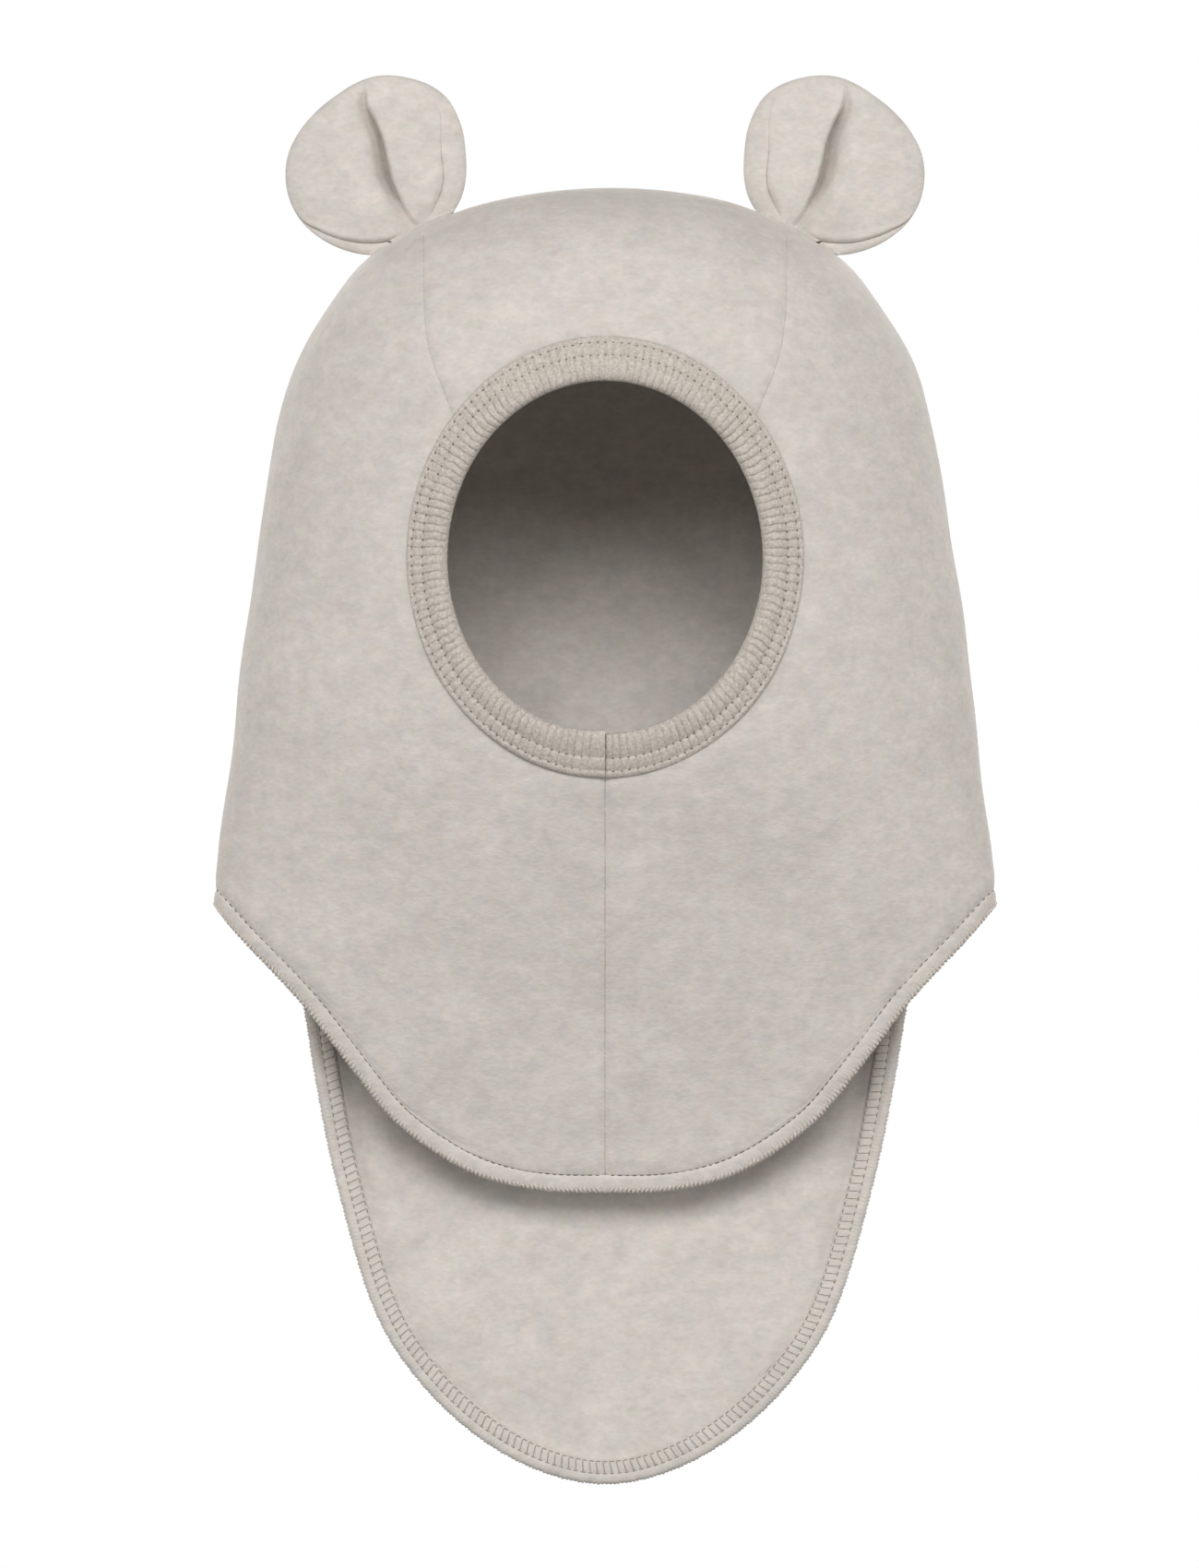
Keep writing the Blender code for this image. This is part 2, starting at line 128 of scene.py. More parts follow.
def meshFrom(name, bm, material):
    mesh = bpy.data.meshes.new(name)
    bm.to_mesh(mesh)
    bm.free()
    mesh.materials.append(material)
    return linked(name, mesh)


def addPiece(name, bm, material, nodes=()):
    piece = meshFrom(name, bm, material)
    piece.data.shade_smooth()
    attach(piece, "root")
    if nodes:
        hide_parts(*nodes)
    return piece


def thicken(piece, thickness):
    wall = piece.modifiers.new("cloth thickness", "SOLIDIFY")
    wall.thickness = thickness
    wall.offset = -1.0
    wall.use_even_offset = False
    wall.use_rim = True


# the hood's form, which the panels, hems, rib band and ears all follow

hood = {
    "wall": 1.8 * mm,
    "shoulderHalfWidth": 109.6 * mm,
    "shoulderDepth": 201 * mm,
    "headHalfDepth": 60 * mm,
    "bibDepth": 282.8 * mm,
    "flapDepth": 365.5 * mm,
    "turnDepth": 60 * mm,  # below this the back is read by depth, above it by angle
    "softness": 0.5 * mm,  # slow unevenness of cloth that stands by itself
    # level, which is 1 at the shoulders, half width, and reach in front and behind
    "sections": (
        (0, 0, 0, 0), (0.005, 0.166, 0.18, 0.2), (0.021, 0.33, 0.36, 0.39), (0.05, 0.472, 0.53, 0.57),
        (0.095, 0.606, 0.69, 0.74), (0.155, 0.698, 0.81, 0.87), (0.23, 0.78, 0.89, 0.95),
        (0.32, 0.834, 0.94, 1), (0.43, 0.873, 0.96, 1.01), (0.575, 0.911, 0.94, 0.95),
        (0.75, 0.95, 0.86, 0.77), (1, 1, 0.56, 0.42), (1.25, 1.015, 0.32, 0.24),
        (1.55, 1.025, 0.13, 0.14), (2.06, 1.035, 0.16, 0.08),
    ),
    # the edges give half widths and depths below the shoulders, the seams levels and half widths
    "bibEdge": (
        (0, 1), (0.176, 0.991), (0.351, 0.928), (0.527, 0.775), (0.644, 0.588), (0.763, 0.373),
        (0.848, 0.247), (0.936, 0.122), (1, 0.02),
    ),
    "flapEdge": (
        (0, 1), (0.166, 0.978), (0.33, 0.918), (0.484, 0.82), (0.6, 0.694), (0.698, 0.472),
        (0.75, 0.305), (0.788, 0.165), (0.84, 0.075), (0.915, 0.03), (1, 0.01),
    ),
    "frontSeam": ((0, 0.468), (0.12, 0.462), (0.19, 0.456), (0.25, 0.436), (0.31, 0.395), (0.4, 0.33)),
    "backSeam": (
        (0, 0.468), (0.15, 0.478), (0.4, 0.575), (0.7, 0.74), (0.9, 0.86), (1.05, 0.925), (1.25, 0.955),
    ),
}


def depthAt(level):
    level = np.asarray(level, dtype=float)
    below = hood["shoulderDepth"] + (level - 1) * (hood["flapDepth"] - hood["shoulderDepth"])
    return np.where(level <= 1, level * hood["shoulderDepth"], below)


def hoodTable():
    rows = np.array(hood["sections"])
    rows[:, 0] = depthAt(rows[:, 0])
    rows[:, 1] *= hood["shoulderHalfWidth"]
    rows[:, 2:] *= hood["headHalfDepth"]
    mirrored = rows[1] * np.array([1, -1, -1, -1])
    return smoothRows(np.vstack([mirrored, rows]), 40)[40:]


hoodRows = hoodTable()


def hoodOval(depth):
    # half width, half depth, and how far back the middle lies
    wide, front, back = (np.interp(depth, hoodRows[:, 0], hoodRows[:, k]) for k in (1, 2, 3))
    return wide, (back + front) / 2, (back - front) / 2


def hoodPoint(phi, depth):
    # phi in radians: 0 at the right side, -90 degrees in front, 90 degrees behind
    wide, half, middle = hoodOval(depth)
    return np.stack([wide * np.cos(phi), middle + half * np.sin(phi), hood["wall"] - depth], axis=-1)


def hoodY(x, depth, side):
    wide, half, middle = hoodOval(depth)
    share = np.clip(np.abs(x) / np.maximum(wide, 1e-6), 0, 1)
    return middle + side * half * np.sqrt(1 - share**2)


def facePoint(x, depth, side):
    # a place on the hood's front, side -1, or on its back, side 1
    return np.stack([x, hoodY(x, depth, side), hood["wall"] - depth], axis=-1)


degreeLength = 1.047 * mm  # a degree of the turn over the crown, on a 60 mm radius


def backPoint(x, q):
    # q runs over the crown from front to back: below 0 it is an angle, above 0 a depth
    x, q = np.broadcast_arrays(np.asarray(x, float), np.asarray(q, float))
    angle = np.radians(90 + np.minimum(q, 0) / degreeLength)
    low, high = np.zeros_like(x), np.full_like(x, 90 * mm)
    for step in range(34):
        r = (low + high) / 2
        y, depth = r * np.sin(angle), hood["turnDepth"] - r * np.cos(angle)
        wide, half, middle = hoodOval(np.maximum(depth, 0))
        value = (x / np.maximum(wide, 1e-7))**2 + ((y - middle) / np.maximum(half, 1e-7))**2
        inside = (value < 1) & (depth > 0)
        low, high = np.where(inside, r, low), np.where(inside, high, r)
    r = (low + high) / 2
    over = np.stack([x, r * np.sin(angle), hood["wall"] - hood["turnDepth"] + r * np.cos(angle)], axis=-1)
    depth = hood["turnDepth"] + np.maximum(q, 0)
    return np.where((q < 0)[..., None], over, facePoint(x, depth, 1))


def turnOf(y, depth):
    # q at a y and a depth
    above = hood["turnDepth"] - depth
    angle = np.degrees(np.arctan2(y, above))
    return np.where((above < 0) & (y > 0), -above, (angle - 90) * degreeLength)


chartSteps = {hoodPoint: (0.0005, 0.05 * mm), backPoint: (0.05 * mm, 0.05 * mm)}  # to take slopes over


def chartNormals(chart, a, b):
    normal = unit(np.cross(*slopes(chart, a, b, chartSteps[chart])))
    place = chart(a, b)
    z = place[..., 2]
    core = np.stack([0 * z, np.full_like(z, -6 * mm), np.minimum(z, -60 * mm)], axis=-1)
    return normal * np.where(dot(normal, place - core) < 0, -1, 1)[..., None]


def movedIn(chart, line, distances):
    # a chart's line, moved over the surface towards the crown by each distance, of which the first is 0
    stride, walked, steps = 0.4 * mm, 0.0, chartSteps[chart]
    a, b = line[:, 0], line[:, 1]
    found = [(a, b)]
    for distance in distances[1:]:
        while walked < distance - 1e-9:
            step = min(stride, distance - walked)
            place = chart(a, b)
            along = unit(np.gradient(place, axis=0))
            up = unit(np.cross(chartNormals(chart, a, b), along))
            up = up * np.where(np.sum(up[:, 2]) < 0, -1, 1)
            pa, pb = slopes(chart, a, b, steps)
            pa, pb = pa / (2 * steps[0]), pb / (2 * steps[1])
            aa, ab, bb, ua, ub = dot(pa, pa), dot(pa, pb), dot(pb, pb), dot(pa, up), dot(pb, up)
            low = aa * bb - ab * ab
            a, b = a + step * (ua * bb - ub * ab) / low, b + step * (ub * aa - ua * ab) / low
            walked += step
        found.append((a, b))
    return found


def softWaves(place):
    # slow unevenness over the whole hood
    x, y, z = (place[..., k] / mm for k in range(3))
    wave = (np.sin(0.061 * x + 0.045 * z + 0.8) * np.sin(0.052 * z - 0.038 * y + 2.0)
            + 0.6 * np.sin(0.11 * x - 0.072 * z + 1.1) * np.sin(0.094 * z + 0.083 * y))
    return hood["softness"] * wave


# seam lines in 3D

seamForm = {
    "depth": 1 * mm,  # how far the cloth dips into a seam
    "width": 1.15 * mm,
    "pucker": 0.22 * mm,
    "puckerReach": 6 * mm,
}

faceOpening = {
    "depth": 105 * mm,
    "halfWidth": 44.2 * mm,
    "halfHeight": 48.2 * mm,
    "ribSide": 10.6 * mm,
    "ribTop": 12.8 * mm,
    "overlap": 6 * mm,
    "outerReach": 56,  # mm from its middle to the band's outer edge
    "bandReach": 52,  # and to the middle of the band
}
holeHalfWidth = faceOpening["halfWidth"] + faceOpening["ribSide"] - faceOpening["overlap"]
holeHalfHeight = faceOpening["halfHeight"] + faceOpening["ribTop"] - faceOpening["overlap"]


def seamHalf(table, depth):
    rows = np.array(table)
    fine = smoothRows(np.stack([depthAt(rows[:, 0]), rows[:, 1] * hood["shoulderHalfWidth"]], axis=1), 12)
    return np.interp(depth, fine[:, 0], fine[:, 1])


def holeHalf(depth):
    share = np.clip((depth - faceOpening["depth"]) / holeHalfHeight, -1, 1)
    return holeHalfWidth * np.sqrt(1 - share**2)


def eased(line, turns):
    # each turn moves every place a little towards its neighbours, and the ends stay
    for turn in range(turns):
        line[1:-1] = 0.25 * line[:-2] + 0.5 * line[1:-1] + 0.25 * line[2:]
    return line


def hemEdge(table, tip):
    # from the middle out to the side; it is level in the middle
    rows = np.array(table)
    depth = hood["shoulderDepth"] + rows[:, 1] * (tip - hood["shoulderDepth"])
    rows = np.stack([rows[:, 0] * hood["shoulderHalfWidth"], depth], axis=1)
    whole = smoothRows(np.vstack([rows[:0:-1] * np.array([-1, 1]), rows]), 24)
    whole = eased(evenly(whole, 1201), 160)
    return whole[600:]


def crossing(first, second, low, high):
    # the depth where two half widths are equal
    for step in range(40):
        middle = (low + high) / 2
        if (first(low) - second(low)) * (first(middle) - second(middle)) <= 0:
            high = middle
        else:
            low = middle
    return (low + high) / 2


peakHalf = hood["frontSeam"][0][1] * hood["shoulderHalfWidth"]
peakDepth = float(np.interp(peakHalf, hoodRows[:, 1], hoodRows[:, 0]))  # the crown seam's highest place
holeCrossing = crossing(lambda d: seamHalf(hood["frontSeam"], d), holeHalf, 58 * mm, 80 * mm)


def frontSeamLine(count=160):
    # from the crown's peak down to the face opening
    depth = peakDepth + (holeCrossing - peakDepth) * np.linspace(0, 1, count)**1.6
    half = np.minimum(seamHalf(hood["frontSeam"], depth), hoodOval(depth)[0])
    half[0] = peakHalf
    return half, depth


def backSeamLine(bottom, count=260):
    depth = peakDepth + (bottom - peakDepth) * np.linspace(0, 1, count)**1.6
    blend = np.clip((depth - peakDepth) / (20 * mm), 0, 1)
    half = peakHalf + (seamHalf(hood["backSeam"], depth) - peakHalf) * blend
    half = np.minimum(half, hoodOval(depth)[0])
    return half, depth


flapCurve = hemEdge(hood["flapEdge"], hood["flapDepth"])
bibCurve = hemEdge(hood["bibEdge"], hood["bibDepth"])
seamFoot = crossing(lambda d: seamHalf(hood["backSeam"], d),
                    lambda d: np.interp(-d, -flapCurve[:, 1], flapCurve[:, 0]), 202 * mm, 225 * mm)
print("hood form: crown seam peak at %.1f mm, seam meets the opening at %.1f mm and the hem at %.1f mm"
      % (peakDepth / mm, holeCrossing / mm, seamFoot / mm))


frontHalf, frontDepth = frontSeamLine()
backHalf, backDepth = backSeamLine(seamFoot)
crownSeam = np.vstack([facePoint(frontHalf, frontDepth, -1)[::-1], facePoint(backHalf, backDepth, 1)[1:]])
centreDepth = np.linspace(faceOpening["depth"] + holeHalfHeight, hood["bibDepth"], 200)
centreSeam = facePoint(0 * centreDepth, centreDepth, -1)


def treeOf(points):
    tree = KDTree(len(points))
    for k, point in enumerate(points):
        tree.insert(point, k)
    tree.balance()
    return tree


rightSeam = evenly(crownSeam, 900)
seams = treeOf(np.vstack([rightSeam, rightSeam * np.array([-1, 1, 1]), evenly(centreSeam, 400)]))


def seamDip(place):
    # how deep the cloth dips at a place, with small puckers beside the seam
    flat = place.reshape(-1, 3)
    distance = np.array([seams.find(p)[2] for p in flat]).reshape(place.shape[:-1])
    # the crown seams are drawn less tight than the centre one
    tight = np.clip(0.4 + (-place[..., 2] / mm - 45) / 90, 0.4, 0.85)
    dip = -seamForm["depth"] * tight * np.exp(-(distance / seamForm["width"])**1.3)
    along = (place[..., 2] + 0.35 * place[..., 1]) / mm
    reach = distance / seamForm["puckerReach"]
    swell = seamForm["pucker"] * reach * np.exp(1 - reach * 1.6) * uneven(along * 0.62, 1.3)
    return dip + swell


def ribPress(place, depth):
    # the fleece is drawn in a little where the rib band is stitched on
    x = place[..., 0]
    a = faceOpening["halfWidth"] + faceOpening["ribSide"]
    b = faceOpening["halfHeight"] + faceOpening["ribTop"]
    share = np.sqrt((x / a)**2 + ((depth - faceOpening["depth"]) / b)**2)
    distance = (share - 1) * faceOpening["outerReach"] * mm
    front = place[..., 1] < 0
    press = (-0.42 * mm * np.exp(-(np.maximum(distance, 0) / (1.9 * mm))**1.4)
             + 0.1 * mm * np.exp(-((distance - 5 * mm) / (3 * mm))**2))
    return np.where(front & (depth < 190 * mm), press, 0.0)


# hem: the panels end at its needle row, and a turned band goes round the edge

hemForm = {
    "stitchLine": 5.2 * mm,  # from the edge up to the needle row
    "wall": 1.75 * mm,
    "ridgePitch": 1.12 * mm,
    "ridge": 0.27 * mm,
    "columnPitch": 0.22 * mm,
}


def hemPucker(distance, along):
    # above the needle row the cloth swells out of the stitched groove
    up = (distance - hemForm["stitchLine"]) / mm
    along = along / mm
    depth = 0.5 + 0.2 * uneven(along * 0.19, 0.4)
    groove = -depth * mm * np.exp(-(np.maximum(up, 0) / 1.3)**1.3)
    swell = (0.16 + 0.12 * uneven(along * 0.11, 1.9)) * mm * np.exp(-((up - 4.2) / 1.8)**2)
    ticks = np.sin(along * 2 * math.pi / 2.1 + 1.3 * uneven(along * 0.3))
    return groove + swell + 0.1 * mm * np.exp(-((up - 0.9) / 1.3)**2) * ticks


def fromCurve(place, points):
    # how far each place is from a curve, and how far along it
    tree, length = treeOf(points), arcLength(points)
    found = [tree.find(p) for p in place.reshape(-1, 3)]
    distance = np.array([f[2] for f in found]).reshape(place.shape[:-1])
    return distance, length[np.array([f[1] for f in found])].reshape(place.shape[:-1])


def graded(length, pitch, first=True):
    # shares of a length: fine steps beside a seam or stitch line, and even ones between
    fine = np.array([0, 0.3, 0.65, 1.05, 1.5, 2.1, 2.8, 3.7, 4.9, 6.5]) * mm / length
    low, high = fine if first else np.array([0.0]), 1 - fine[::-1]
    count = max(3, int((high[0] - low[-1]) * length / pitch))
    return np.concatenate([low, np.linspace(low[-1], high[0], count)[1:-1], high])


def coons(left, right, start, end, s, v, late=1.0):
    # a patch between four lines in a chart: left and right run with v, start and end with s,
    # and the end line's shape comes in later where late is over 1
    s, v = s[None, :, None], v[:, None, None]
    ruled = (1 - s) * left[:, None, :] + s * right[:, None, :]
    straightStart = (1 - s) * start[0] + s * start[-1]
    straightEnd = (1 - s) * end[0] + s * end[-1]
    return ruled + (1 - v) * (start[None] - straightStart) + v**late * (end[None] - straightEnd)


def patchSheet(chart, rows, hemPoints, side):
    # the chart's patch in space, with the seams, the rib's pull and the hem's pucker
    place = chart(rows[..., 0], rows[..., 1])
    normal = chartNormals(chart, rows[..., 0], rows[..., 1])
    depth = hood["wall"] - place[..., 2]
    lift = softWaves(place * np.array([side, 1, 1])) + seamDip(place) + ribPress(place, depth)
    distance, along = fromCurve(place, hemPoints)
    lift += np.where(distance < 16 * mm, hemPucker(distance, along * (1 if side > 0 else 1.013)), 0)
    return (place + normal * lift[..., None]) * np.array([side, 1, 1])


# back panel: a strip over the forehead and crown that widens into the back and the long flap

backPanel = {"pitch": 1.9 * mm, "tipHalfWidth": 57 * mm, "flat": (0.22, 0.5), "cut": 0.0625}


def backHemLine():
    # x and q from the right seam's foot round the tip to the left one
    hem = flapCurve[flapCurve[:, 1] > seamFoot]
    hem = np.vstack([hem, [seamHalf(hood["backSeam"], seamFoot), seamFoot]])
    full = np.vstack([hem[::-1], hem[1:] * np.array([-1, 1])])
    line = np.stack([full[:, 0], full[:, 1] - hood["turnDepth"]], 1)
    return evenlyOn(backPoint, line, 1201)


def backPatch():
    hem = backHemLine()
    stitch = np.stack(movedIn(backPoint, hem, [0.0, hemForm["stitchLine"]])[1], 1)
    turn = int(np.argmax(stitch[:, 0] < backPanel["tipHalfWidth"]))
    q = turnOf(facePoint(frontHalf, frontDepth, -1)[:, 1], frontDepth)[::-1]
    seamX = np.concatenate([frontHalf[::-1], backHalf[1:]])
    seamQ = np.concatenate([q, turnOf(facePoint(backHalf, backDepth, 1)[1:, 1], backDepth[1:])])
    seamLine = np.stack([seamX, seamQ], 1)[seamQ < stitch[0, 1] - 0.2 * mm]
    side = np.vstack([seamLine, stitch[:turn + 1]])
    tip = stitch[turn:len(stitch) - turn]
    angle = np.linspace(-1, 1, 300) * math.acos((faceOpening["depth"] - holeCrossing) / holeHalfHeight)
    holeX, holeD = -holeHalfWidth * np.sin(angle), faceOpening["depth"] - holeHalfHeight * np.cos(angle)
    top = np.stack([holeX, turnOf(hoodY(holeX, holeD, -1), holeD)], 1)
    s = graded(chartLength(backPoint, tip), backPanel["pitch"])
    v = graded(chartLength(backPoint, side), backPanel["pitch"])
    right = evenlyOn(backPoint, side, v)
    start = evenlyOn(backPoint, top, s)
    end = evenlyOn(backPoint, tip, s)
    rows = coons(right, right * np.array([-1, 1]), start, end, s, v, 3.0)
    # rows rise from the seams' feet, where the hem turns in
    foot = chartLength(backPoint, seamLine) / chartLength(backPoint, side)
    rows[..., 1] -= 12 * mm * np.exp(-((v - foot) / 0.13)**2)[:, None] * (4 * s * (1 - s))[None, :]
    return rows, onChart(backPoint, hem)


def buildBackPanel(material):
    rows, hemPoints = backPatch()
    bm = gridMesh(patchSheet(backPoint, rows, hemPoints, 1))
    faceOutward(bm, Vector((0, -0.006, -0.15)))
    piece = addPiece("back_panel_cloth", bm, material, ("back_panel",))
    thicken(piece, hemForm["wall"])
    return piece


# side panels: from the crown seam round to the centre seam in front, both alike

sidePanel = {"pitch": 1.9 * mm, "flat": (0.19, 0.29), "cut": 0.03}


def phiOf(x, depth, side):
    wide = hoodOval(depth)[0]
    return side * np.arccos(np.clip(x / np.maximum(wide, 1e-6), -1, 1))


def sideHemLine():
    # phi and depth from the centre front round the shoulder to the back seam
    front = np.stack([phiOf(bibCurve[:, 0], bibCurve[:, 1], -1), bibCurve[:, 1]], 1)
    back = flapCurve[flapCurve[:, 1] < seamFoot]
    back = np.vstack([[seamHalf(hood["backSeam"], seamFoot), seamFoot], back])
    behind = np.stack([phiOf(back[:, 0], back[:, 1], 1), back[:, 1]], 1)[::-1]
    line = np.vstack([front[front[:, 0] < -0.04], behind[behind[:, 0] > 0.04]])
    # the arch over the shoulder is eased, as a turned hem can't make a corner
    return eased(evenlyOn(hoodPoint, line, 900), 60)


def sidePatch():
    hem = sideHemLine()
    stitch = np.stack(movedIn(hoodPoint, hem, [0.0, hemForm["stitchLine"]])[1], 1)
    stitch[0, 0] = -math.pi / 2
    seamPart = np.stack([phiOf(frontHalf, frontDepth, -1), frontDepth], 1)
    angle = np.linspace(math.acos((faceOpening["depth"] - holeCrossing) / holeHalfHeight), math.pi, 200)
    holeD = faceOpening["depth"] - holeHalfHeight * np.cos(angle)
    holePart = np.stack([phiOf(holeHalfWidth * np.sin(angle), holeD, -1), holeD], 1)
    lowest = faceOpening["depth"] + holeHalfHeight
    centrePart = np.stack([np.full(160, -math.pi / 2), np.linspace(lowest, stitch[0, 1], 160)], 1)
    frontLine = np.vstack([seamPart, holePart[1:], centrePart[1:]])
    backLine = np.stack([phiOf(backHalf, backDepth, 1), backDepth], 1)
    backLine = np.vstack([backLine[backDepth < stitch[-1, 1] - 0.2 * mm], stitch[-1]])
    s = graded(chartLength(hoodPoint, stitch), sidePanel["pitch"])
    v = graded(chartLength(hoodPoint, frontLine), sidePanel["pitch"], first=False)
    left = evenlyOn(hoodPoint, frontLine, v)
    # rows reach the back seam lower down, so that none crosses the opening's lower edge
    right = evenlyOn(hoodPoint, backLine, v + 0.19 * np.sin(math.pi * v))
    start = np.repeat(np.array([[0.0, peakDepth]]), len(s), axis=0)
    end = evenlyOn(hoodPoint, stitch, s)
    rows = coons(left, right, start, end, s, v, 4.0)
    # near the top both seams run level, so the rows between them hang down in arcs
    sag = 24 * mm * (right[:, 0] - left[:, 0]) * np.clip(1 - v / 0.5, 0, 1)**2
    rows[..., 1] += sag[:, None] * np.sin(math.pi * s)[None, :]
    return rows, onChart(hoodPoint, hem)


def buildSidePanel(side, material):
    name = "right" if side > 0 else "left"
    rows, hemPoints = sidePatch()
    bm = gridMesh(patchSheet(hoodPoint, rows, hemPoints, side))
    bmesh.ops.remove_doubles(bm, verts=bm.verts[:], dist=0.002 * mm)
    faceOutward(bm, Vector((0, -0.006, -0.12)))
    piece = addPiece("side_panel_" + name + "_cloth", bm, material, ("side_panel_" + name,))
    thicken(piece, hemForm["wall"])
    return piece


# hem band: the cloth turned round the edge, soft and a little ruffled by its stitches

hemProfile = (
    # distance from the edge and lift over the cloth's outside, in millimetres
    (5.32, -0.85), (5.16, -0.5), (4.92, -0.22), (4.5, -0.04), (3.9, 0.05), (3.2, 0.08), (2.5, 0.06),
    (1.8, -0.02), (1.2, -0.16), (0.7, -0.42), (0.32, -0.8), (0.08, -1.26), (0, -1.75), (0.08, -2.3),
    (0.32, -2.82), (0.7, -3.2), (1.2, -3.45), (1.9, -3.58), (2.7, -3.55), (3.05, -3.38), (3.4, -3.55),
    (4.2, -3.6), (5.2, -3.6), (6.1, -3.55), (6.45, -3.35), (6.75, -3.1), (6.95, -2.6), (6.98, -2.1),
    (6.9, -1.6),
)


def hemGrid(chart, line, side, seed):
    # chart places at the profile's distances from the edge, then the profile's lift
    profile = np.array(hemProfile) * mm
    length = chartLength(chart, line)
    fine = evenlyOn(chart, line, int(length / hemForm["columnPitch"]))
    wanted = sorted(set(np.round(profile[:, 0], 7)))
    found = dict(zip(wanted, movedIn(chart, fine, wanted)))
    along = np.linspace(0, length, len(fine)) / mm
    phase = 2 * math.pi * along / (hemForm["ridgePitch"] / mm) + 2.2 * uneven(along * 0.21, seed)
    rows = []
    for distance, lift in profile:
        a, b = found[round(distance, 7)]
        place, normal = chart(a, b), chartNormals(chart, a, b)
        up = distance / mm
        finer = np.sin(2.17 * phase + 1.1 * uneven(along * 0.5, seed + 2))
        ridges = 0.62 * np.sin(phase + 0.55 * up) + 0.38 * finer
        size = hemForm["ridge"] * (0.8 + 0.5 * uneven(along * 0.34, seed + 5)) * math.exp(-(up / 2.1)**2)
        slow = 0.1 * mm * uneven(along * 0.8 + 0.5 * up, seed + 9) * math.exp(-((up - 2.5) / 2)**2)
        edge = math.exp(-(up / 0.9)**2)
        height = lift + softWaves(place * np.array([side, 1, 1])) + size * ridges * (1 - 0.4 * edge) + slow
        below = unit(np.cross(unit(np.gradient(place, axis=0)), normal))
        below = below * (-1 if np.sum(below[:, 2]) > 0 else 1)
        scallop = 0.24 * mm * edge * (ridges + 0.6 * uneven(along * 1.3, seed))
        rows.append(place + normal * height[:, None] + below * scallop[:, None])
    return np.stack(rows)


hemLines = {
    # chart, line, side, and a number that sets its unevenness
    "hem_right": (hoodPoint, sideHemLine(), 1, 1.7),
    "hem_left": (hoodPoint, sideHemLine(), -1, -0.3),
    "hem_back": (backPoint, backHemLine(), 1, 3.1),
}


def buildHem(name, material):
    chart, line, side, seed = hemLines[name]
    bm = gridMesh(hemGrid(chart, line, side, seed) * np.array([side, 1, 1]))
    # the faces round the turned edge look down
    turnFaces(bm, lambda f: -f.normal.z if abs(f.normal.z) > 0.8 else 0.0)
    return addPiece(name + "_band", bm, material)


# stitches: each one is a small rounded thread with 24 faces

stitchForm = {
    "needleRow": 5.18 * mm,  # from the hem's edge
    "needlePitch": 2.05 * mm,
    "needleLength": 1.35 * mm,
    "sunk": 0.42,  # mm
    "thread": 0.3 * mm,
    "edgeRows": (0.12 * mm, 2.3 * mm),  # where the edge threads start and end
    "edgePitch": 1.25 * mm,
    "edgeSize": (0.62 * mm, 0.56 * mm),
    "ladderRows": (3.05 * mm, 6.45 * mm),
    "ladderPitch": 2.2 * mm,
    "ladderSize": (1.5 * mm, 0.36 * mm, 0.34 * mm),
    "rungSize": (0.3 * mm, 0.26 * mm),
}


def stitchPiece(name, stitches, material):
    # one piece from places, directions, normals and sizes of small rounded threads
    bm, one = bmesh.new(), bpy.data.meshes.new("stitch")
    for place, along, normal, length, width, height in stitches:
        along, normal = Vector(along).normalized(), Vector(normal).normalized()
        across = normal.cross(along).normalized()
        turn = Matrix((along, across, across.cross(along) * -1)).transposed().to_4x4()
        size = Matrix.Diagonal((length, width, height, 1.0))
        thread = bmesh.new()
        bmesh.ops.create_uvsphere(thread, u_segments=6, v_segments=4, radius=0.5,
                                  matrix=Matrix.Translation(Vector(place)) @ turn @ size)
        thread.to_mesh(one)
        thread.free()
        bm.from_mesh(one)
    bpy.data.meshes.remove(one)
    bmesh.ops.recalc_face_normals(bm, faces=bm.faces[:])
    return addPiece(name, bm, material, ())


def hemRow(name, distances, pitch):
    # places, directions and normals at each distance from the edge, a pitch apart
    chart, line, side, seed = hemLines[name]
    length = chartLength(chart, line)
    fine = evenlyOn(chart, line, int(length / pitch))
    mirror = np.array([side, 1, 1])
    rows = []
    for a, b in movedIn(chart, fine, [0.0] + list(distances))[1:]:
        place, normal = chart(a, b), chartNormals(chart, a, b)
        place = place + normal * softWaves(place * mirror)[:, None]
        rows.append((place * mirror, np.gradient(place, axis=0) * mirror, normal * mirror))
    return rows


def buildNeedleRow(name, material):
    stitches = []
    place, along, normal = hemRow(name, [stitchForm["needleRow"]], stitchForm["needlePitch"])[0]
    for k in range(1, len(place) - 1):
        wander = 0.5 * uneven(k * 2.3, 1.0)
        length = stitchForm["needleLength"] * (1 + 0.25 * uneven(k * 3.1, 2.0))
        aside = np.cross(normal[k], unit(along[k]))
        at = place[k] - normal[k] * stitchForm["sunk"] * mm + aside * 0.12 * mm * wander
        run = unit(along[k]) + aside * 0.25 * wander
        stitches.append((at, run, normal[k], length, stitchForm["thread"], stitchForm["thread"] * 0.8))
    return stitchPiece(name + "_needle_row", stitches, material)


def buildEdgeThreads(name, material):
    # threads that bind the edge, from the outside round to just under it
    stitches = []
    (low, along, normal), (high, _, _) = hemRow(name, stitchForm["edgeRows"], stitchForm["edgePitch"])
    for k in range(1, len(low) - 2):
        reach = 0.72 + 0.28 * uneven(k * 1.7, 0.9)
        a = low[k] - normal[k] * 1.1 * mm
        b = low[k] + (high[k + 1] - low[k]) * reach - normal[k] * 0.1 * mm
        middle = (a + b) / 2 + normal[k] * 0.46 * mm
        stitches.append((middle, b - a, normal[k], np.linalg.norm(b - a), *stitchForm["edgeSize"]))
    return stitchPiece(name + "_edge_threads", stitches, material)


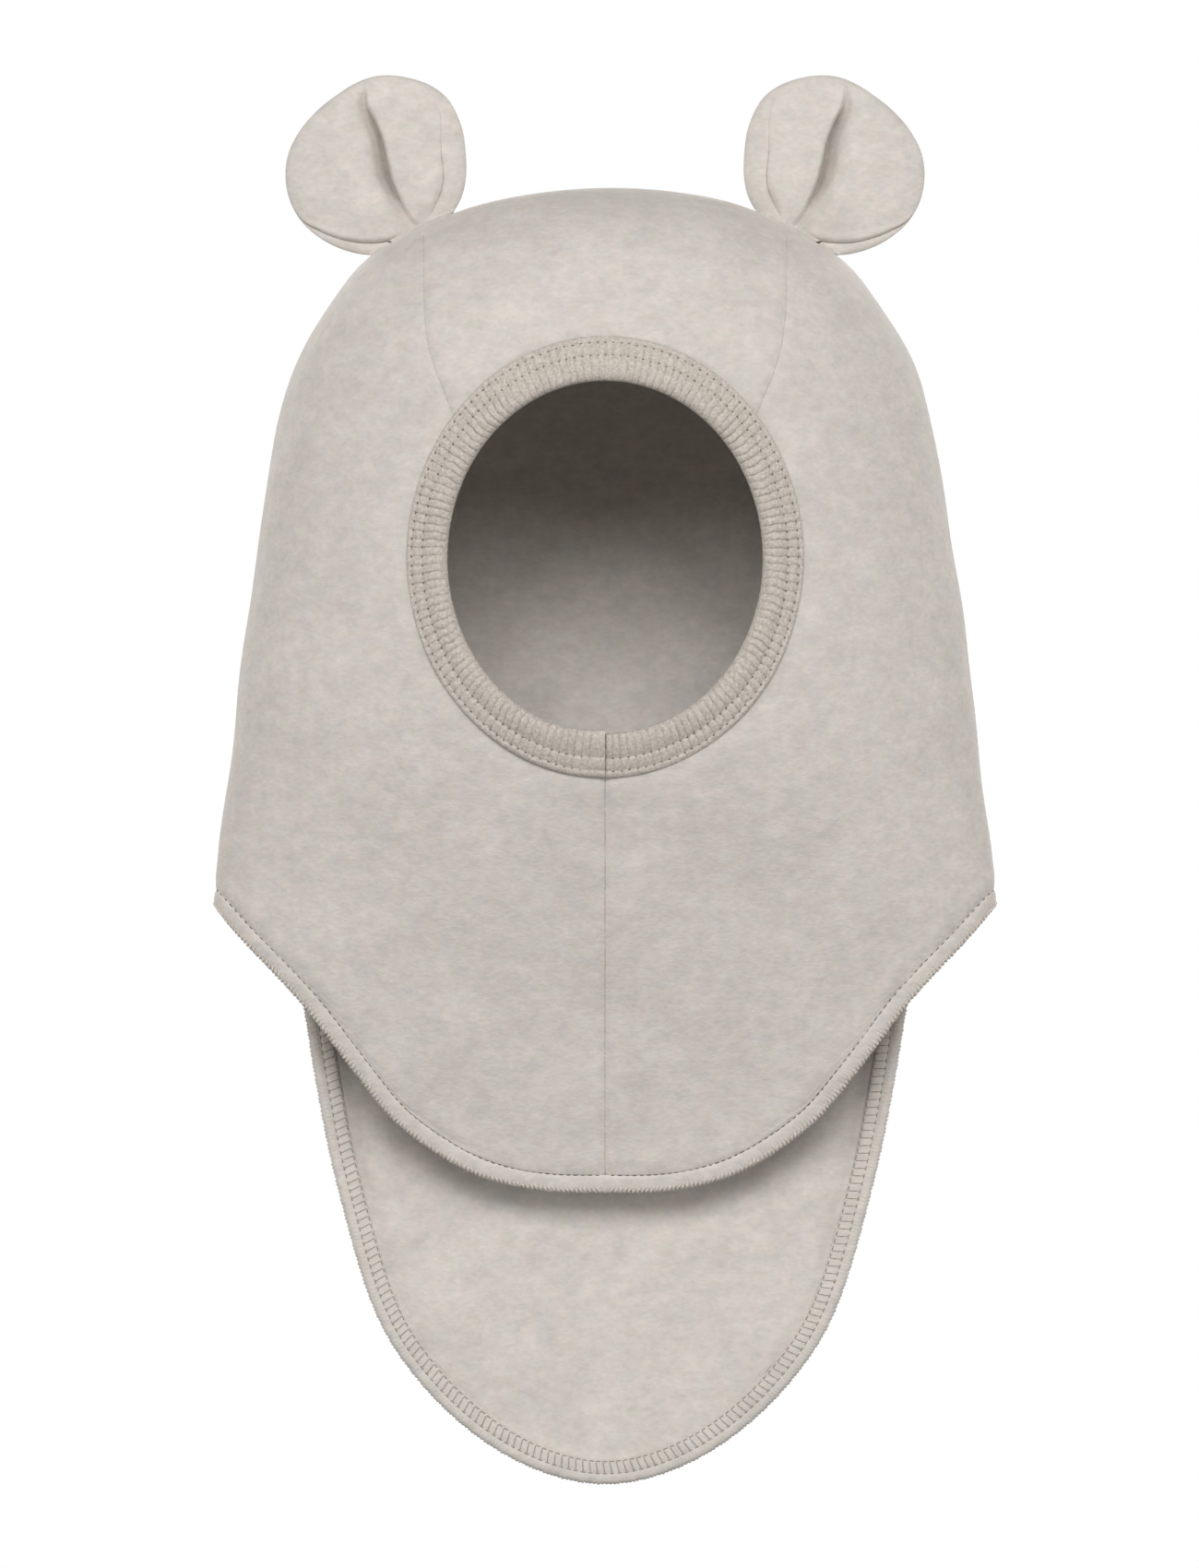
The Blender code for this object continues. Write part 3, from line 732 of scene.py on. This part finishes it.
def buildLadder(name, material):
    stitches = []
    rows = hemRow(name, stitchForm["ladderRows"], stitchForm["ladderPitch"])
    for row, lift in zip(rows, (-3.52, -3.5)):
        for place, along, normal in list(zip(*row))[1:-1]:
            stitches.append((place + normal * lift * mm, along, normal, *stitchForm["ladderSize"]))
    (low, along, normal), (high, _, _) = rows
    for k in range(1, len(low) - 2):
        a, b = low[k] - normal[k] * 3.62 * mm, high[k] * 0.65 + high[k + 1] * 0.35 - normal[k] * 3.66 * mm
        stitches.append(((a + b) / 2, b - a, normal[k], np.linalg.norm(b - a), *stitchForm["rungSize"]))
    return stitchPiece(name + "_ladder", stitches, material)


# rib band round the face opening: folded one-by-one rib knit, laid over the cut edge

ribBand = {
    "ribs": 148,
    "width": 12.2 * mm,
    "valley": 0.64 * mm,
    "stitchRows": ((1.62 * mm, 0.46 * mm), (5.02 * mm, 0.48 * mm)),  # in from the outer edge, and lift
    "stitchSize": (0.95 * mm, 0.42 * mm, 0.34 * mm),
    "flat": (0.026, 0.31),
    "cut": 0.0079,
}
ribProfile = (
    # mm in from the outer edge, lift in mm, and how strong the ribs are
    (0, 0.1, 0), (0.08, 0.42, 0.15), (0.3, 0.7, 0.3), (0.7, 0.84, 0.4), (1.1, 0.8, 0.45), (1.4, 0.66, 0.5),
    (1.6, 0.52, 0.5), (1.8, 0.62, 0.6), (2.1, 0.84, 0.75), (2.6, 0.98, 0.85), (3.3, 1.04, 0.85), (4, 1, 0.85),
    (4.5, 0.88, 0.75), (4.8, 0.68, 0.7), (5, 0.58, 0.7), (5.2, 0.7, 0.75), (5.6, 0.98, 0.9),
    (6.2, 1.22, 1.05), (7, 1.38, 1.1), (8, 1.42, 1.1), (9, 1.32, 1.05), (10, 1.04, 1), (10.9, 0.56, 0.95),
    (11.6, -0.12, 0.85), (12.05, -0.95, 0.7), (12.2, -1.9, 0.6), (12, -2.8, 0.6), (11.3, -3.5, 0.6),
    (10, -3.85, 0.6), (8.2, -3.8, 0.6), (6.6, -3.3, 0.4), (5.7, -2.6, 0.2), (5.4, -2.1, 0),
)


def ringPlace(angle, across):
    # across and depth on the hood's front, at a distance in from the band's outer edge
    share = across / ribBand["width"]
    a = faceOpening["halfWidth"] + faceOpening["ribSide"] * (1 - share)
    b = faceOpening["halfHeight"] + faceOpening["ribTop"] * (1 - share)
    return a * np.cos(angle), faceOpening["depth"] - b * np.sin(angle)


def frontNormal(x, depth):
    step = 0.5 * mm
    sx = (hoodY(x + step, depth, -1) - hoodY(x - step, depth, -1)) / (2 * step)
    sd = (hoodY(x, depth + step, -1) - hoodY(x, depth - step, -1)) / (2 * step)
    return unit(np.stack([sx, -np.ones_like(sx), sd], axis=-1))


def ribTurns(u):
    # u counts ribs from the join at the bottom; the ribs aren't quite even
    turn = u / ribBand["ribs"] * 2 * math.pi
    return turn, turn - math.pi / 2 + 0.006 * uneven(turn * 9.0, 0.3) * np.abs(np.sin(turn / 2))**0.5


def ribSurface(angle, across, height):
    x, depth = ringPlace(angle, across)
    normal = frontNormal(x, depth)
    return facePoint(x, depth, -1) + normal * np.asarray(height)[..., None], normal


def ribStrength(turn, angle):
    # deepest at the two sides, as the photo's light shows them, and flatter on the forehead
    return (0.85 + 0.3 * uneven(turn * 11.0, 2.0) + 0.25 * np.abs(np.cos(angle))
            - 0.3 * np.clip(np.sin(angle), 0, 1)**3)


def buildRibBand(material):
    cut = np.array([0, 0.06, 0.15, 0.3, 0.5, 0.7, 0.85, 0.94])
    ribs = ribBand["ribs"]
    u = np.append((np.arange(ribs)[:, None] + cut[None, :]).ravel(), ribs)
    phase = np.append(np.tile(cut, ribs), 0.0)
    turn, angle = ribTurns(u)
    shape = np.sin(math.pi * phase)**0.34
    strength = ribStrength(turn, angle)
    fromJoin = np.minimum(turn, 2 * math.pi - turn) * faceOpening["bandReach"]
    flatEnd = np.exp(-(fromJoin / 3.4)**6) * (turn > math.pi)
    lap = np.where(turn > math.pi, 0.45 * np.exp(-(fromJoin / 7.0)**2), -0.1 * np.exp(-(fromJoin / 1.5)**2))
    inward = np.where(turn > math.pi, 0.75 * np.exp(-(fromJoin / 12.0)**2), 0.0)
    rows = []
    for across, lift, rib in ribProfile:
        free = np.clip((across - 5) / 3, 0, 1)
        lean = 0.009 * free * (uneven(turn * 5.0, 1.1) * math.sin(across * 0.9) + 0.5 * np.cos(angle))
        lean = lean + 0.0035 * uneven(turn * 60 + across * 0.8, across * 0.5) * min(across / 3, 1.0)
        ridge = (shape - 1) * ribBand["valley"] * rib * strength * (1 - 0.9 * flatEnd)
        puff = 0.16 * mm * rib * uneven(turn * 34, across * 0.25) * free
        top = np.clip(1 + (lift + 1.5) / 1.5, 0, 1)
        height = lift * mm + ridge + puff + lap * top * mm
        rows.append(ribSurface(angle + lean, (across + inward * free) * mm, height)[0])
    bm = gridMesh(np.stack(rows))
    # the faces in front look forward
    turnFaces(bm, lambda f: -f.normal.y if f.calc_center_median().y < -0.05 else 0.0)
    return addPiece("face_rib_band", bm, material, ("face_rib",))


def buildRibStitches(material):
    # two rows of stitches that show as dark dots between the ribs; their dark colour is painted shade of the
    # needle holes
    stitches = []
    long, wide, high = ribBand["stitchSize"]
    for across, lift in ribBand["stitchRows"]:
        turn, angle = ribTurns(np.arange(1.0, ribBand["ribs"] - 1))
        wander = 0.16 * mm * uneven(turn * 40, across * 1000)
        place, normal = ribSurface(angle, across + wander, np.full_like(angle, lift))
        along = np.gradient(place, axis=0)
        for k in range(len(place)):
            length = long * (1 + 0.35 * uneven(k * 2.7, 0.5))
            stitches.append((place[k], along[k], normal[k], length, wide, high))
    return stitchPiece("face_rib_stitches", stitches, material)


# ears: a front and a back cut, sewn, turned out and pleated, then set into the crown seams

ear = {
    "radius": 25.6 * mm,
    "lean": 13.4 * mm,
    "rise": 19.4 * mm,
    "back": 1 * mm,
    "frontBulge": 3.5 * mm,
    "backBulge": 5.2 * mm,
    "pleat": 7.6 * mm,
    "blend": (8.5 * mm, 8 * mm),  # how softly the front and back run into the crown
    "seamDip": 0.5 * mm,
    "wall": 1.2 * mm,
    "frontFlat": (0.054, 0.058),
    "frontCut": 0.0023,
    "backFlat": (0.066, 0.068),
    "backCut": 0.0041,
    "outline": (
        # angle, radius, and how far the back cut comes round to the front
        (0, 0.968, 0), (17, 0.885, 0), (35, 0.82, 0), (55, 0.793, 0), (72, 0.822, 0), (90, 0.875, 0),
        (112, 0.929, 0.08), (138, 1.007, 0.3), (160, 1, 0.44), (180, 0.995, 0.48), (205, 1.05, 0.44),
        (225, 1.06, 0.38), (250, 1.08, 0.32), (273, 1.097, 0.31), (292, 1.095, 0.265), (307, 1.095, 0.2),
        (322, 1.09, 0.06), (340, 1.045, 0),
    ),
    "pleatLine": (
        # up, out away from the head, in mm from the ear's middle, and the pleat's depth there
        (24, 4.6, 0), (20, 3.6, 0.06), (17.9, 3.2, 0.16), (14, 2.6, 0.42), (8.8, 0, 0.75), (3.7, -1.9, 0.92),
        (-1.5, -3, 1), (-6.7, -4.3, 1), (-10, -5.6, 0.8), (-12.7, -6.9, 0.52), (-17.5, -9.5, 0.34),
        (-21.3, -12.9, 0.26), (-25, -16.5, 0.08),
    ),
}


def earOutline():
    rows = np.array(ear["outline"], float)
    before, after = rows[-2:].copy(), rows[:2].copy()
    before[:, 0] -= 360
    after[:, 0] += 360
    return smoothRows(np.vstack([before, rows, after]), 12)


earRim = earOutline()
earPleat = smoothRows(np.array(ear["pleatLine"])[::-1], 12)


def domeForward(x, depth):
    # how far forward the crown's surface is, falling on past its own outline
    wide, half, middle = hoodOval(np.maximum(depth, 0.2 * mm))
    share = np.abs(x) / np.maximum(wide, 1e-5)
    k = np.where(share < 1, np.sqrt(np.clip(1 - share**2, 0, 1)), -np.sqrt(np.clip(share**2 - 1, 0, 9)))
    return half * k, middle


def earPlaces(turn, angle):
    # places on the left or right ear alike, with x away from the head, before any mirroring
    degrees = np.degrees(angle) % 360
    radius = np.interp(degrees, earRim[:, 0], earRim[:, 1]) * ear["radius"]
    share, front = np.sin(turn * math.pi / 2), turn <= 1
    rise = (1 - np.clip(share, 0, 1)**3.0)**(1 / 1.8)
    out, up = share * radius * np.cos(angle), share * radius * np.sin(angle)
    line = np.interp(up / mm, earPleat[:, 0], earPleat[:, 1]) * mm
    deep = np.interp(up / mm, earPleat[:, 0], earPleat[:, 2]) * ear["pleat"] * (1 - share**9)
    off = (out - line) / mm
    outer, inner = np.exp(-(np.maximum(off, 0) / 3.1)**1.6), np.exp(-(np.maximum(-off, 0) / 0.42)**2)
    lip = 0.9 * mm * np.exp(-((off + 2.6) / 2.4)**2) * deep / ear["pleat"]
    puff = 0.5 * mm * np.exp(-((off - 10) / 7)**2) - 0.35 * mm * np.exp(-((off + 13) / 3)**2)
    soft = 0.22 * mm * np.sin(out / mm * 0.42 + 1.0) * np.sin(up / mm * 0.36 + 0.4)
    plain = np.where(front, ear["frontBulge"], -ear["backBulge"]) * rise
    forward = plain + np.where(front, (lip + puff + soft) * rise - deep * outer * inner,
                               -0.85 * deep * np.exp(-(off / 7.5)**2) - soft * rise)
    x, z = peakHalf + ear["lean"] + out, hood["wall"] - peakDepth + ear["rise"] + up
    # near the crown the cloth runs out over it, then under it
    reach, middle = domeForward(x, hood["wall"] - z)
    facing = np.where(front, 1.0, -1.0)
    cloth, dome = facing * forward - facing * ear["back"], reach - facing * middle
    soft = np.where(front, *ear["blend"])
    blended = np.maximum(cloth, dome) + np.maximum(soft - np.abs(cloth - dome), 0)**2 / (4 * soft)
    under = dome - facing * (plain - ear["back"])
    blended -= 1.6 * mm * np.clip(under / soft * 2.4 - 1.1, 0, 1)**2
    near = np.clip((26 * mm - np.hypot(out + 12 * mm, up + 20 * mm)) / (9 * mm), 0, 1)
    y = -facing * (cloth + near * (blended - cloth))
    return np.stack([x, y, z], axis=-1)


def earGrid(first, last, rings, columns):
    # rings from one turn to another; last may be the seam's turn, a row with one for each column
    angle = np.linspace(0, 2 * math.pi, columns + 1)
    degrees = np.degrees(angle) % 360
    seam = 1 - np.interp(degrees, earRim[:, 0], earRim[:, 2])
    t = np.linspace(0, 1, rings)[:, None]
    t = 1 - (1 - t)**1.25  # closer together towards the seam
    turn = first + (seam[None, :] - first) * t
    place = earPlaces(turn, np.broadcast_to(angle, turn.shape))
    middle = np.array([peakHalf + ear["lean"], 2.5 * mm, hood["wall"] - peakDepth + ear["rise"]])
    normal = unit(np.cross(np.gradient(place, axis=0), np.gradient(place, axis=1)))
    normal[0] = np.array([0, -1.0 if first < 1 else 1.0, 0])
    if np.mean(dot(normal, place - middle)) < 0:
        normal[1:] = -normal[1:]
    gap = np.abs(turn - seam[None, :]) * 34
    lower = np.clip(-np.sin(angle + 0.25), 0, 1)[None, :]
    # the seam shows on the head's side and underneath
    shown = np.interp(degrees, [140, 156, 214, 230, 246, 257, 315, 330], [0, 1, 1, 0, 0, 1, 1, 0])[None, :]
    dip = -ear["seamDip"] * (0.65 + 0.5 * lower) * shown * np.exp(-(gap / 0.75)**1.2)
    if first < 1:
        dip = dip + 0.5 * mm * lower * shown * np.exp(-((gap - 2.2) / 1.6)**2)
    else:
        dip = dip - 0.5 * mm * lower * shown * np.exp(-(gap / 3.0)**2)
    place = place + normal * dip[..., None]
    place[0] = place[0].mean(axis=0)
    place[:, -1] = place[:, 0]
    return place


def buildEar(side, material):
    name = "right" if side > 0 else "left"
    pieces = []
    for cut, first, rings in (("front", 0.0, 96), ("back", 2.0, 60)):
        place = earGrid(first, 1.0, rings, 300) * np.array([side, 1, 1])
        bm = gridMesh(place)
        bmesh.ops.remove_doubles(bm, verts=bm.verts[:], dist=0.001 * mm)
        bmesh.ops.recalc_face_normals(bm, faces=bm.faces[:])
        faceOutward(bm, Vector((side * (peakHalf + ear["lean"]), 0.0025, place[0, 0, 2])))
        pieces.append(addPiece("ear_%s_%s_cloth" % (cut, name), bm, material, ("ear_%s_%s" % (cut, name),)))
        thicken(pieces[-1], ear["wall"])
    return pieces


# materials

def linear(hexColour):
    values = [int(hexColour[k:k + 2], 16) / 255 for k in (1, 3, 5)]
    return [v / 12.92 if v <= 0.04045 else ((v + 0.055) / 1.055)**2.4 for v in values] + [1.0]


def addNode(tree, kind, settings=None, links=None):
    # a setting is an attribute or an input's value; a link feeds an input from another's output
    node = tree.nodes.new("ShaderNode" + kind)
    for key, value in (settings or {}).items():
        if isinstance(key, str) and hasattr(node, key):
            setattr(node, key, value)
        else:
            node.inputs[key].default_value = value
    for key, source in (links or {}).items():
        tree.links.new(source, node.inputs[key])
    return node


def newMaterial(name):
    made = bpy.data.materials.new(name)
    made.use_nodes = True
    made.node_tree.nodes.clear()
    return made, made.node_tree


def mixTint(tree, first, second, share):
    # from a hex colour or an earlier tint to a second hex colour
    mix = addNode(tree, "Mix", {"data_type": "RGBA", 7: linear(second)}, {0: share})
    if isinstance(first, str):
        mix.inputs[6].default_value = linear(first)
    else:
        tree.links.new(first, mix.inputs[6])
    return mix.outputs[2]


def bump(tree, strength, depth, links):
    return addNode(tree, "Bump", {"Strength": strength, "Distance": depth}, links).outputs["Normal"]


def noiseOf(tree, place, scale, roughness=0.5, detail=2.0):
    return addNode(tree, "TexNoise", {"Scale": scale, "Detail": detail, "Roughness": roughness},
                   {"Vector": place}).outputs["Fac"]


def surfaceOf(tree, settings, links=None):
    surface = addNode(tree, "BsdfPrincipled", settings, links)
    addNode(tree, "OutputMaterial", links={"Surface": surface.outputs["BSDF"]})


fleeceLook = {
    "pink": "#ccc3bc",
    "green": "#c9c4bb",
    "grey": "#c7c2bd",
    "cloud": 14.0,  # mm, the widest clouds of tint
    "patch": 5.0,  # mm, the patches inside them
    "fleck": 1.9,  # mm, small flecks of darker wool
    "fibre": 0.5,  # mm, drawn coarser than wool fibre so that it shows
}


def woolFleece(look):
    # brushed wool fleece in a melange of undyed wools: matt, soft at the edges, gently mottled
    made, tree = newMaterial("brushed wool fleece")
    place = addNode(tree, "TexCoord").outputs["Object"]

    def noise(size, shift, stretch=1.35):
        # a noise of a size in mm, a little wider than it is high as the wool is brushed sideways
        moved = addNode(tree, "Mapping", {"Location": (shift, shift * 0.7, shift * 1.3),
                                          "Scale": (1.0, 1.0, stretch)}, {"Vector": place})
        return noiseOf(tree, moved.outputs["Vector"], 1000 / size, 0.55)

    def ranged(source, low, high, start=0, end=1):
        return addNode(tree, "MapRange", {"From Min": low, "From Max": high, "To Min": start, "To Max": end},
                       {"Value": source}).outputs["Result"]

    def product(first, second):
        return addNode(tree, "Math", {"operation": "MULTIPLY"}, {0: first, 1: second}).outputs[0]

    patch, other = noise(look["patch"], 1.1), noise(look["patch"] * 1.3, 4.7)
    cloud, fleck = noise(look["cloud"], 8.3), noise(look["fleck"], 2.9, 1.8)
    fibre, shadePatch = noise(look["fibre"], 6.1, 1.3), noise(look["patch"] * 0.9, 9.9)
    tint = mixTint(tree, look["pink"], look["green"], ranged(patch, 0.38, 0.62))
    tint = mixTint(tree, tint, look["grey"], ranged(other, 0.42, 0.68))
    shade = product(ranged(cloud, 0.3, 0.7, 0.955, 1.045), ranged(fleck, 0.35, 0.75, 1.035, 0.935))
    shade = product(shade, ranged(shadePatch, 0.3, 0.7, 0.945, 1.055))
    tint = addNode(tree, "VectorMath", {"operation": "SCALE"}, {0: tint, "Scale": shade}).outputs["Vector"]
    low = bump(tree, 0.3, 0.5 * mm, {"Height": fleck})
    fine = bump(tree, 0.35, 0.2 * mm, {"Height": fibre, "Normal": low})
    surfaceOf(tree, {"Roughness": 0.96, "Specular IOR Level": 0.2, "Sheen Weight": 0.55,
                     "Sheen Roughness": 0.5, "Sheen Tint": linear("#e6e2db")},
              {"Base Color": tint, "Normal": fine})
    return made


ribLook = {"light": "#cec6bd", "dark": "#a89f96", "loop": 0.8, "fibre": 0.4}  # sizes in mm


def ribKnit(look):
    # one-by-one rib knit in the same wool: tighter and a little darker than the fleece
    made, tree = newMaterial("wool rib knit")
    place = addNode(tree, "TexCoord").outputs["Object"]
    loop = noiseOf(tree, place, 1000 / look["loop"], 0.6)
    fibre = noiseOf(tree, place, 1000 / look["fibre"], 0.7)
    spread = addNode(tree, "MapRange", {"From Min": 0.28, "From Max": 0.72}, {"Value": loop})
    tint = mixTint(tree, look["dark"], look["light"], spread.outputs["Result"])
    low = bump(tree, 0.4, 0.3 * mm, {"Height": loop})
    fine = bump(tree, 0.4, 0.16 * mm, {"Height": fibre, "Normal": low})
    surfaceOf(tree, {"Roughness": 0.95, "Specular IOR Level": 0.25, "Sheen Weight": 0.2,
                     "Sheen Roughness": 0.5, "Sheen Tint": linear("#eeece6")},
              {"Base Color": tint, "Normal": fine})
    return made


def spunThread(name, dark, light):
    # spun polyester thread, matt, with its twist as faint light and dark bands
    made, tree = newMaterial(name)
    place = addNode(tree, "TexCoord").outputs["Object"]
    tint = mixTint(tree, dark, light, noiseOf(tree, place, 2200.0, detail=1.0))
    surfaceOf(tree, {"Roughness": 0.75, "Specular IOR Level": 0.3}, {"Base Color": tint})
    return made


fleece = woolFleece(fleeceLook)
knit = ribKnit(ribLook)
# the needle row's dark brown is painted shade of the needle holes; the real thread is about the fleece's tone
needleRowShade = spunThread("needle row painted dark as the shade in its holes", "#4e463e", "#7b7166")
# the looper thread is a little darker than the fleece, and its brown is darkened further as painted shade
ladderThreadAndShade = spunThread("looper thread inside the hem, darkened as painted shade", "#8b7f73", "#aca196")
edgeThread = spunThread("woolly thread bound over the edge", "#c3b9af", "#e0d8cf")
# the rib stitches' dark brown is painted shade of the needle holes, not the thread's own tone
ribHoleShade = spunThread("rib needle holes painted dark as their shade", "#655b52", "#857b71")
print("materials made")

backCloth = buildBackPanel(fleece)
sideCloth = {side: buildSidePanel(side, fleece) for side in (1, -1)}
print("panels made")
hems = {name: buildHem(name, fleece) for name in hemLines}
needles = {name: buildNeedleRow(name, needleRowShade) for name in hemLines}
ladders = {name: buildLadder(name, ladderThreadAndShade) for name in hemLines}
edges = {name: buildEdgeThreads(name, edgeThread) for name in hemLines}
print("hems and their stitches made")
ribCloth = buildRibBand(knit)
ribStitches = buildRibStitches(ribHoleShade)
print("rib band made")
ears = {side: buildEar(side, fleece) for side in (1, -1)}
print("ears made")


# camera, lights and stage

shot = {"lens": 200.0, "distance": 2.456, "x": -1.55 * mm, "z": -165.85 * mm}
camera = linked("camera", bpy.data.cameras.new("camera"))
camera.data.lens = shot["lens"]
camera.data.sensor_width = 36.0
camera.location = (shot["x"], -shot["distance"], shot["z"])
camera.rotation_euler = (math.pi / 2, 0, 0)
bpy.context.scene.camera = camera
bpy.context.scene.view_settings.view_transform = "Standard"

studio = {
    "middle": -0.13, "reach": 3.0, "floor": -0.52,
    "world": (0.25, 0.34, 0.11),  # from straight below, at eye level and from above
    # softboxes: degrees to the side and up, size in metres and power
    "softboxes": ((-12, 25.5, 1.3, 34.0), (12, 25.5, 1.3, 34.0), (-62, 2, 1.3, 22.0), (62, 2, 1.3, 22.0),
                  (-145, 12, 1.3, 36.0), (145, 12, 1.3, 36.0)),
}


def studioWorld():
    # soft light, strongest from all round at eye level, in front of a white background
    world = bpy.data.worlds.new("studio")
    bpy.context.scene.world = world
    world.use_nodes = True
    tree = world.node_tree
    tree.nodes.clear()
    place = addNode(tree, "TexCoord").outputs["Generated"]
    height = addNode(tree, "SeparateXYZ", links={"Vector": place}).outputs["Z"]
    up = addNode(tree, "MapRange", {"From Min": -0.5, "From Max": 0.5}, {"Value": height})
    ramp = addNode(tree, "ValToRGB", links={"Fac": up.outputs["Result"]})
    ramp.color_ramp.elements.new(0.5)
    for stop, level in zip(ramp.color_ramp.elements, studio["world"]):
        stop.color = (level, level * 0.99, level * 0.97, 1)
    light = addNode(tree, "Background", links={"Color": ramp.outputs["Color"]})
    white = addNode(tree, "Background", {"Color": (1, 1, 1, 1), "Strength": 1.0})
    seen = addNode(tree, "LightPath").outputs["Is Camera Ray"]
    mixed = addNode(tree, "MixShader", links={0: seen, 1: light.outputs[0], 2: white.outputs[0]})
    addNode(tree, "OutputWorld", links={"Surface": mixed.outputs[0]})


def areaLight(name, place, target, size, power):
    light = bpy.data.lights.new(name, "AREA")
    light.shape, light.size, light.energy = "DISK", size, power
    lamp = linked(name, light)
    lamp.location = place
    lamp.rotation_euler = (Vector(target) - Vector(place)).to_track_quat("-Z", "Y").to_euler()


studioWorld()
for k, (aside, up, size, power) in enumerate(studio["softboxes"]):
    aside, up = math.radians(aside), math.radians(up)
    reach = studio["reach"] * math.cos(up)
    height = studio["middle"] + studio["reach"] * math.sin(up)
    place = (reach * math.sin(aside), -reach * math.cos(aside), height)
    areaLight("softbox %d" % (k + 1), place, (0, 0, studio["middle"]), size, power)

paint, tree = newMaterial("white studio floor")
surfaceOf(tree, {"Base Color": linear("#f4f3f1"), "Roughness": 0.9})
bm = bmesh.new()
bmesh.ops.create_grid(bm, x_segments=1, y_segments=1, size=1.3)
bmesh.ops.translate(bm, verts=bm.verts[:], vec=(0, 0, studio["floor"]))
floor = meshFrom("studio_floor", bm, paint)
floor.visible_diffuse = False  # it throws no light up into the hood, which stays dark inside
print("studio made")
